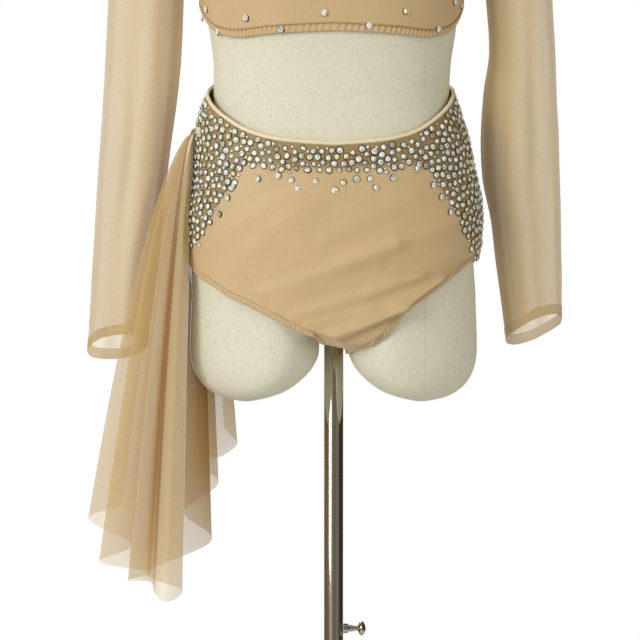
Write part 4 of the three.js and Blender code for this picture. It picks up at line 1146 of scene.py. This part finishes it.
def side_drape(across=520, along=170):
    hem = np.stack([DRAPE["x"], DRAPE["y"], DRAPE["z"]], -1) * MM
    gathers = on_body(BRIEF, DRAPE["topTurn"], DRAPE_TOP_Z)
    gathers = gathers + outward(gathers) * DRAPE["topOut"][:, None] * MM
    at = np.linspace(0, len(hem) - 1, across)
    v = np.linspace(0, 1, along)[:, None, None]
    low, high = through(hem, at)[None], through(gathers, at)[None]
    points = high + (low - high) * v ** DRAPE_FLARE
    points[..., 2] = (DRAPE_TOP_Z * MM * (1 - v) + low * v)[..., 2]
    points = clear_of_hip(points)
    piece = grid_mesh("side_drape_mesh", points, [DRAPE_MESH])
    run = np.gradient(points, axis=1)
    edge_on = np.abs(run[..., 1]) / (np.abs(run[..., 0]) + np.abs(run[..., 1]) + 1e-9)
    # Painted shade on the bends tucked behind others
    tucked_shade = np.interp(at, DRAPE_BEND_SHADE["bend"], DRAPE_BEND_SHADE["depth"])[None]
    down = v[..., 0]
    # Painted shade of small folds near the gathers, in short waves
    waves = 0.5 + 0.5 * np.sin(at * 12.0 + 2.0 * np.sin(at * 3.1))
    gathered = np.clip(1 - down * 2.4, 0, 1) * waves[None]
    folded_away = 0.35 * np.clip(edge_on - 0.75, 0, 1) * 4
    bunching_and_shade = tucked_shade * (1 - 0.6 * down ** 6) + 0.2 * gathered + folded_away
    set_attribute(piece, "bunching_and_shade", np.clip(bunching_and_shade, 0, 1))
    finish_cloth(piece, points, ["side_drape"])


side_drape()

# %% [markdown]
# The waist of the brief is set with flat-backed cut stones of mixed sizes, glued one by one.
# Each has pale facets with painted lighter and darker reflections, and a dark rim round it that is
# partly foil and glue, partly painted shade.

# %% Stone materials
def crystal_material():
    """Foil-backed glass: pale facets that differ a little in tint from stone to stone, with painted
    lighter and darker reflections in small cells.
    """
    material, nodes, links, shader = new_material("crystal")
    tint = colour_ramp(nodes, links, painted(nodes, "tint"), STONE_TINTS, "CONSTANT")
    place = nodes.new("ShaderNodeTexCoord")
    cells = make_node(nodes, links, "ShaderNodeTexVoronoi", {
        "Vector": place.outputs["Object"], "Scale": REFLECTION_CELL_SCALE})
    reflection_cell = make_node(nodes, links, "ShaderNodeSeparateColor", {0: cells.outputs["Color"]})
    # Painted reflections: cells above the share are darker
    dark_reflection = math_node(nodes, links, "GREATER_THAN", reflection_cell.outputs[0], PAINTED_REFLECTION_SHARE)
    share = math_node(nodes, links, "MULTIPLY_ADD", dark_reflection, -PAINTED_DARK_REFLECTION, 1.0)
    links.new(toned_colour(nodes, links, tint, share), shader.inputs["Base Color"])
    finish_of(shader, Roughness=0.12, Coat_Weight=1.0, Coat_Roughness=0.05)
    return material


def foil_and_shade_material():
    """A dark line round each stone: partly grey foil and glue, partly painted shade."""
    material, nodes, links, shader = new_material("foil_and_shade_rim")
    _, mottle = on_object(
        nodes, links, Slow_Scale=80.0, Fine_Scale=900.0, Slow_Share=0.3, Fine_Share=0.3)
    base = toned_colour(nodes, links, FOIL_AND_SHADE_COLOUR, mottle.outputs["Tone"])
    links.new(base, shader.inputs["Base Color"])
    finish_of(shader, Metallic=0.5, Roughness=0.4)
    return material


STONE_TINTS = [
    (0.0, (0.94, 0.93, 0.82)), (0.4, (0.96, 0.96, 0.90)), (0.62, (0.80, 0.88, 0.82)),
    (0.76, (0.90, 0.80, 0.50)), (0.9, (0.76, 0.80, 0.66)), (0.97, (0.5, 0.47, 0.36))]
# Painted reflections: facets are bright or darker in cells this fine, and the cells above a share are
# darker by the last number
REFLECTION_CELL_SCALE, PAINTED_REFLECTION_SHARE, PAINTED_DARK_REFLECTION = 620.0, 0.72, 0.5
# The dark rim round each stone: partly foil and glue, partly painted shade
FOIL_AND_SHADE_COLOUR = (0.085, 0.066, 0.034)
CRYSTAL = crystal_material()
FOIL_AND_SHADE = foil_and_shade_material()

# %% [markdown]
# One stone is a dark cup, partly foil and glue and partly painted shade, with two cut layers on it. The
# rule sets large stones first, then small ones in the gaps, turns and tips each a little, and leaves out
# those below the ragged edge.

# %% The rule that scatters the stones
STONE_INPUTS = [
    ("Patch", "NodeSocketGeometry", None), ("Spacing", "NodeSocketFloat", 0.0079),
    ("Size", "NodeSocketFloat", 0.0036), ("Filler Spacing", "NodeSocketFloat", 0.0043),
    ("Filler Size", "NodeSocketFloat", 0.0018), ("Filler Gap", "NodeSocketFloat", 0.0053),
    ("Ragged", "NodeSocketFloat", 0.009), ("Seed", "NodeSocketInt", 4),
    ("Crystal", "NodeSocketMaterial", None), ("Foil", "NodeSocketMaterial", None)]
# Each layer of a stone: radius below and above, depth, height of its middle, and what it is
STONE_LAYERS = [
    (1.22, 1.08, 0.2, 0.0, "Foil"), (0.98, 0.8, 0.34, 0.1, "Crystal"),
    (0.8, 0.42, 0.2, 0.44, "Crystal")]
MOST_STONES = 200000.0
# Shares by which stones differ in size and in width, how far they tip, and how far they turn
SIZE_RANGE, WIDTH_RANGE = (0.8, 1.1), (0.82, 1.08)
TIP_RANGE, TURN_RANGE = (-0.16, 0.16), (0.0, 6.28)
STONE_SIDES = 9


def stone_rule():
    group = bpy.data.node_groups.new("scatter_stones", "GeometryNodeTree")
    for label, kind, value in STONE_INPUTS:
        socket = group.interface.new_socket(name=label, in_out="INPUT", socket_type=kind)
        if value is not None:
            socket.default_value = value
    group.interface.new_socket(name="Stones", in_out="OUTPUT", socket_type="NodeSocketGeometry")
    nodes, links = group.nodes, group.links
    source, sink = nodes.new("NodeGroupInput"), nodes.new("NodeGroupOutput")

    def node(kind, inputs, **settings):
        return make_node(nodes, links, kind, inputs, **settings)

    def chance(limits, seed):
        inputs = {2: limits[0], 3: limits[1], "Seed": seed}
        return node("FunctionNodeRandomValue", inputs, data_type="FLOAT").outputs[1]

    def sum_of(operation, first, second):
        return math_node(nodes, links, operation, first, second)

    def frustum(low, high, depth, at, material):
        cone = node("GeometryNodeMeshCone", {
            "Vertices": STONE_SIDES, "Radius Bottom": low, "Radius Top": high, "Depth": depth})
        lift = node("GeometryNodeTransform", {
            "Geometry": cone.outputs["Mesh"], "Translation": (0, 0, at)})
        shade = node("GeometryNodeSetShadeSmooth", {
            "Geometry": lift.outputs[0], "Shade Smooth": False})
        return node("GeometryNodeSetMaterial", {
            "Geometry": shade.outputs[0], "Material": source.outputs[material]}).outputs[0]

    stone = node("GeometryNodeJoinGeometry", {})
    for shape in STONE_LAYERS:
        links.new(frustum(*shape), stone.inputs[0])
    above = node("GeometryNodeInputNamedAttribute", {"Name": "above_edge"}, data_type="FLOAT")

    def scattered(spacing, size, seed, keep_out=None):
        """Stones a set distance apart, gone where the edge is ragged or others are close."""
        points = node("GeometryNodeDistributePointsOnFaces", {
            "Mesh": source.outputs["Patch"], "Distance Min": source.outputs[spacing],
            "Density Max": MOST_STONES, "Seed": sum_of("ADD", source.outputs["Seed"], seed),
        }, distribute_method="POISSON")
        ragged = sum_of("MULTIPLY", chance((0.0, 1.0), seed + 1), source.outputs["Ragged"])
        unwanted = sum_of("LESS_THAN", above.outputs["Attribute"], ragged)
        if keep_out is not None:
            near = node("GeometryNodeProximity", {0: keep_out}, target_element="POINTS")
            close = sum_of("LESS_THAN", near.outputs["Distance"], source.outputs["Filler Gap"])
            unwanted = sum_of("MAXIMUM", unwanted, close)
        turned_out = node("GeometryNodeStoreNamedAttribute", {
            "Geometry": points.outputs["Points"], "Name": "facing",
            "Value": points.outputs["Rotation"]}, data_type="QUATERNION", domain="POINT")
        kept = node("GeometryNodeDeleteGeometry", {
            "Geometry": turned_out.outputs[0], "Selection": unwanted}, domain="POINT")
        facing = node(
            "GeometryNodeInputNamedAttribute", {"Name": "facing"}, data_type="QUATERNION")
        radius = sum_of("MULTIPLY", source.outputs[size], chance(SIZE_RANGE, seed + 2))
        width = sum_of("MULTIPLY", radius, chance(WIDTH_RANGE, seed + 3))
        scale = node("ShaderNodeCombineXYZ", {"X": radius, "Y": width, "Z": radius})
        placed = node("GeometryNodeInstanceOnPoints", {
            "Points": kept.outputs[0], "Instance": stone.outputs[0],
            "Rotation": facing.outputs["Attribute"], "Scale": scale.outputs[0]})
        spin = node("ShaderNodeCombineXYZ", {
            "X": chance(TIP_RANGE, seed + 4), "Y": chance(TIP_RANGE, seed + 5),
            "Z": chance(TURN_RANGE, seed + 6)})
        turned = node("GeometryNodeRotateInstances", {
            "Instances": placed.outputs[0], "Rotation": spin.outputs[0]})
        tinted = node("GeometryNodeStoreNamedAttribute", {
            "Geometry": turned.outputs[0], "Name": "tint",
            "Value": chance((0.0, 1.0), seed + 7)}, data_type="FLOAT", domain="INSTANCE")
        return kept.outputs[0], tinted.outputs[0]

    large_points, large = scattered("Spacing", "Size", 0)
    _, small = scattered("Filler Spacing", "Filler Size", 20, keep_out=large_points)
    both = node("GeometryNodeJoinGeometry", {})
    links.new(large, both.inputs[0])
    links.new(small, both.inputs[0])
    real = node("GeometryNodeRealizeInstances", {0: both.outputs[0]})
    links.new(real.outputs[0], sink.inputs[0])
    return group


STONE_RULE = stone_rule()
STONES_BELOW_PIPING, STONES_PAST_EDGE, STONE_SEAT = 3.2, 4.0, 0.0006


def stones_on(name, points, above_edge):
    """Stones all over a grid of points, as one plain mesh."""
    patch = grid_mesh(name, points, [])
    set_attribute(patch, "above_edge", above_edge)
    rule = patch.modifiers.new("stones", "NODES")
    rule.node_group = STONE_RULE
    values = {"Crystal": CRYSTAL, "Foil": FOIL_AND_SHADE}
    for item in STONE_RULE.interface.items_tree:
        if item.in_out == "INPUT" and item.name in values:
            rule[item.identifier] = values[item.name]
    stones = as_plain(patch, name)
    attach(stones, "form")


def brief_stones():
    turn = np.linspace(-180, 180, 361)[None]
    high = waist_line(turn) - PIPING_RADIUS - STONES_BELOW_PIPING
    low = read(STONES_DOWN_TO, "turn", fold(turn), "z") - STONES_PAST_EDGE
    z = low + (high - low) * np.linspace(0, 1, 40)[:, None]
    points = brief_point(turn + 0 * z, z)
    points = points + outward(points) * STONE_SEAT
    stones_on("brief_rhinestones", points, (z - low) * MM)


brief_stones()

# %% [markdown]
# The leg bands and the top's hem are sewn down with a zigzag stitch: one thread that steps from
# side to side along the band.

# %% The zigzag stitches
def thread_material():
    material, nodes, links, shader = new_material("thread")
    _, mottle = on_object(
        nodes, links, Slow_Scale=60.0, Fine_Scale=1800.0, Slow_Share=0.1, Fine_Share=0.3)
    base = toned_colour(nodes, links, THREAD_COLOUR, mottle.outputs["Tone"])
    links.new(base, shader.inputs["Base Color"])
    finish_of(shader, Roughness=0.6)
    return material


THREAD_COLOUR = (0.56, 0.39, 0.19)
THREAD = thread_material()
THREAD_RADIUS, THREAD_STANDS_OUT, STITCH_SHARES = 0.00042, 0.00075, (0.12, 0.88)
LEG_STEPS, LEG_THREAD_INSET = 360, 0.4
HEM_STEPS, STITCH_BELOW, STITCH_ABOVE = 560, 2.5, 0.8


def zigzag(name, low, high):
    """A thread from one line to the other and back, over the cloth between them."""
    share = np.where(np.arange(len(low)) % 2 == 0, *STITCH_SHARES)[:, None]
    path = low * (1 - share) + high * share
    path = path + outward(path) * THREAD_STANDS_OUT
    along = np.roll(path, -1, 0) - np.roll(path, 1, 0)
    along = along / np.linalg.norm(along, axis=-1, keepdims=True)
    out = outward(path)
    side = np.cross(along, out)
    angle = np.arange(4)[:, None, None] * np.pi / 2
    points = path[None] + (out[None] * np.cos(angle) + side[None] * np.sin(angle)) * THREAD_RADIUS
    piece = grid_mesh(name, np.concatenate([points, points[:1]]), [THREAD], closed=True)
    merge_close(piece, 1e-6)
    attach(piece, "form")


def hem_zigzag():
    turn = np.arange(HEM_STEPS) * 360 / HEM_STEPS
    seam = read(TOP_HEM, "turn", fold(turn), "z") + BAND_HEIGHT
    lines = [on_body(TOP, turn, seam + away) for away in (-STITCH_BELOW, STITCH_ABOVE)]
    zigzag("hem_zigzag", *lines)


for thread_name, thread_side in (("leg_zigzag_left", -1), ("leg_zigzag_right", 1)):
    both_edges = band_edges(thread_side, leg_turns(thread_side, 60), LEG_THREAD_INSET)
    zigzag(thread_name, *smooth_loop(both_edges, LEG_STEPS).swapaxes(0, 1))
hem_zigzag()

# %% [markdown]
# A few stones lie by themselves: drops under the ragged edge, a sparse row on the crop top, and
# the big one over the drape's gathers. They are set one by one, by where they are seen.

# %% Stones set one by one
# Shares of a stone's radius, out from its middle and up from its seat. The first two are the dark rim,
# partly foil and glue and partly painted shade
STONE_PROFILE = [(1.14, -0.25), (1.1, 0.02), (0.98, 0.03), (0.82, 0.42), (0.44, 0.62)]
STONE_FACETS, HIP_STONE_FACETS = 9, 12


def set_stones(name, middles, normals, radii, node=None, facets=STONE_FACETS):
    chance = random.Random(len(middles))
    rings = len(STONE_PROFILE)
    points, faces, kinds, tints = [], [], [], []
    for middle, normal, radius in zip(middles, normals, radii):
        first = Vector(normal).orthogonal().normalized()
        second = Vector(normal).cross(first)
        start, spin, tint = len(points), chance.random() * 6, chance.random()
        for share, lift in STONE_PROFILE:
            for k in range(facets):
                angle = spin + 2 * math.pi * k / facets
                way = first * math.cos(angle) + second * math.sin(angle)
                points.append(Vector(middle) + (way * share + Vector(normal) * lift) * radius)
        for ring in range(rings - 1):
            for k in range(facets):
                low, high = start + ring * facets, start + (ring + 1) * facets
                right = (k + 1) % facets
                faces.append((low + k, low + right, high + right, high + k))
                kinds.append(1 if ring < 2 else 0)
        top = start + (rings - 1) * facets
        faces.append(tuple(top + k for k in range(facets)))
        faces.append(tuple(start + k for k in reversed(range(facets))))
        kinds += [0, 1]
        tints += [tint] * (rings * facets)
    mesh = bpy.data.meshes.new(name)
    mesh.from_pydata([tuple(point) for point in points], [], faces)
    mesh.materials.append(CRYSTAL)
    mesh.materials.append(FOIL_AND_SHADE)
    mesh.polygons.foreach_set("material_index", kinds)
    piece = linked_object(name, mesh)
    set_attribute(piece, "tint", tints)
    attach(piece, "form")
    if node:
        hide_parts(node)


def seen_on(sizes, x, z):
    """The point on the front of the body that lies at x from the middle."""
    turn = np.linspace(-89, 89, 1780)
    front = on_body(sizes, turn, np.full_like(turn, z))
    return front[np.argmin(np.abs(front[:, 0] / MM - x))]


DROPS = table("x z radius", [
    (-84.1, 994.4, 3.5), (-61.7, 998.5, 3.5), (-47.2, 993.7, 3.4), (-40.2, 984.4, 3.9),
    (-20.2, 992.2, 3.6), (0.8, 982.4, 4.2), (10.2, 991, 3.5), (24.8, 994.9, 3.8),
    (39.6, 995.3, 3.6), (46.2, 985.6, 3.6),
    (65.1, 995.8, 3.7), (-111.7, 986.1, 3.5), (-118.4, 972.6, 3.6), (-127.6, 953.9, 3.5),
    (92, 1006.4, 3.5), (110.1, 987.2, 3.7), (119.2, 973.7, 3.7), (129.5, 956.7, 3.6)])
TOP_STONES = table("x z radius", [
    (-143.1, 1182.6, 3.9), (-148.6, 1172.8, 3.8), (-97.7, 1172.2, 4), (-10.9, 1178, 4),
    (79.1, 1179.8, 4), (134.6, 1190.8, 3.9), (143, 1187.2, 3.8), (-129.9, 1156.9, 3.9),
    (-58.8, 1159.4, 4), (38.2, 1163.9, 4), (115.6, 1160.2, 3.9)])
LONE_STONES = [
    ("drop_stones", BRIEF, DROPS, 0.9), ("top_rhinestones", TOP, TOP_STONES, 0.6)]


def lone_stones():
    for name, sizes, spots, swell in LONE_STONES:
        places = [seen_on(sizes, x, z) for x, z in zip(spots["x"], spots["z"])]
        normals = [outward(np.array([place]))[0] for place in places]
        seats = [place + normal * swell * MM for place, normal in zip(places, normals)]
        set_stones(name, seats, normals, list(spots["radius"] * MM))


lone_stones()


HIP_STONE_FACING, HIP_STONE_RADIUS, HIP_STONE_DEPTH = (-0.62, -0.78, 0.0), 0.0053, 0.0013


def hip_crystal():
    low, high = (np.array(corner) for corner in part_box("hip_crystal"))
    facing = Vector(HIP_STONE_FACING).normalized()
    seat = Vector((low + high) / 2) - facing * HIP_STONE_DEPTH
    set_stones(
        "hip_crystal_stone", [seat], [facing], [HIP_STONE_RADIUS], node="hip_crystal",
        facets=HIP_STONE_FACETS)


hip_crystal()

# %% [markdown]
# The gathers are held by a folded strip of the same mesh, pleated along its lower edge.

# %% The strip that holds the drape's gathers
TAB_FROM, TAB_TO, TAB_HEIGHT, TAB_STANDS_OUT = -106, -81, 5, 6.6
TAB_PLEATS, PLEAT_DEPTH = 150, 0.5


def drape_tab():
    turn = np.linspace(TAB_FROM, TAB_TO, 90)[None]
    v = np.linspace(0, 1, 9)[:, None]
    waves = np.sin(np.radians(turn) * TAB_PLEATS)
    swell = TAB_STANDS_OUT + PLEAT_DEPTH * waves * (1 - v) - 1.2 * v ** 2
    points = on_body(BRIEF, turn, DRAPE_TOP_Z + SEAM_GAP + TAB_HEIGHT * v, swell)
    piece = grid_mesh("drape_tab_mesh", points, [DRAPE_MESH], thickness=HEM_WALL)
    # Painted shade in the pleats, over a browner tone for the folded strip
    set_attribute(piece, "bunching_and_shade", 0.35 + 0.3 * waves + 0 * v)
    finish_cloth(piece, points, ["drape_tab"])


drape_tab()

# %% [markdown]
# The stand is turned and polished steel. Each turned piece is a ring of the same profile as in
# the rigid model, with many more sides, so that its reflections run true.

# %% The stand
def steel_material(name, colour, roughness, brushed):
    material, nodes, links, shader = new_material(name)
    place = nodes.new("ShaderNodeTexCoord")
    mapping = make_node(nodes, links, "ShaderNodeMapping", {
        "Vector": place.outputs["Object"], "Scale": brushed})
    mottle = add_group(
        nodes, MOTTLE, Slow_Scale=14.0, Fine_Scale=700.0, Slow_Share=0.1, Fine_Share=0.1)
    links.new(mapping.outputs[0], mottle.inputs["Vector"])
    base, fine = toned_colour(nodes, links, colour, mottle.outputs["Tone"]), mottle.outputs["Fine"]
    links.new(base, shader.inputs["Base Color"])
    worn = math_node(nodes, links, "MULTIPLY_ADD", fine, WORN_SHARE * roughness, roughness)
    links.new(worn, shader.inputs["Roughness"])
    bump(nodes, links, fine, 0.05, 0.0001, shader)
    finish_of(shader, Metallic=1.0)
    return material


WORN_SHARE = 0.3
POLISHED = steel_material("polished_steel", (0.62, 0.58, 0.49), 0.09, (1.0, 1.0, 0.05))
SATIN_STEEL = steel_material("satin_steel", (0.56, 0.54, 0.5), 0.34, (1.0, 1.0, 1.0))
SCREW_Z = 467.0


def turned_piece(name, node, body, profile, material, along_x=False, sides=96):
    """A profile of radii and heights turned round the pole's axis, or round the screw's."""
    angle = np.arange(sides)[None] * 2 * np.pi / sides
    radius, height = (np.array(column, float)[:, None] for column in zip(*profile))
    points = np.stack([radius * np.cos(angle), radius * np.sin(angle), height + 0 * angle], -1) * MM
    if along_x:
        points = np.stack([points[..., 2], points[..., 1], -points[..., 0]], -1)
        points[..., 2] += SCREW_Z * MM
    piece = grid_mesh(name, points, [material], closed=True)
    merge_close(piece, 1e-6)
    piece.data.set_sharp_from_angle(angle=math.radians(35))
    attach(piece, body)
    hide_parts(node)


turned_piece("base_disc_steel", "base_disc", "stand", [
    (0, 0), (169, 0), (169.7, 0.3), (170, 1), (170, 4), (169, 4.8), (167, 5.4), (160, 6), (0, 6)],
    SATIN_STEEL, sides=160)
turned_piece("pole_collar_steel", "pole_collar", "stand", [
    (11.3, 6.3), (20.4, 6.3), (21, 6.8), (21, 11.4), (20.4, 12.2), (15.6, 16), (14.4, 18), (14, 33.2),
    (13.2, 34), (11.3, 34), (11.3, 6.3)], SATIN_STEEL)
turned_piece("column_tube_steel", "column_tube", "stand", [
    (0, 6.3), (11, 6.3), (11, 805.4), (10.6, 806), (8.8, 806), (8.8, 189.7), (0, 189.7)],
    POLISHED)
turned_piece("inner_pole_steel", "inner_pole", "lift", [
    (0, 190), (8.5, 190), (8.5, 899.4), (7.9, 900), (0, 900)], POLISHED)
turned_piece("screw_boss_steel", "screw_boss", "stand", [
    (3.1, 11.3), (5.6, 11.3), (5.6, 16), (5.2, 16.7), (4.6, 17), (3.1, 17), (3.1, 11.3)],
    POLISHED, along_x=True, sides=48)
turned_piece("thumb_screw_steel", "thumb_screw", "clamp", [
    (0, 11.3), (2.8, 11.3), (2.8, 17.3), (4.2, 17.9), (2.4, 27), (3.4, 28.1), (7, 29.9), (8.2, 31.4),
    (8.5, 32.5), (8.2, 33.6), (7, 35.1), (3.2, 36.9), (0, 37.3)],
    POLISHED, along_x=True, sides=48)
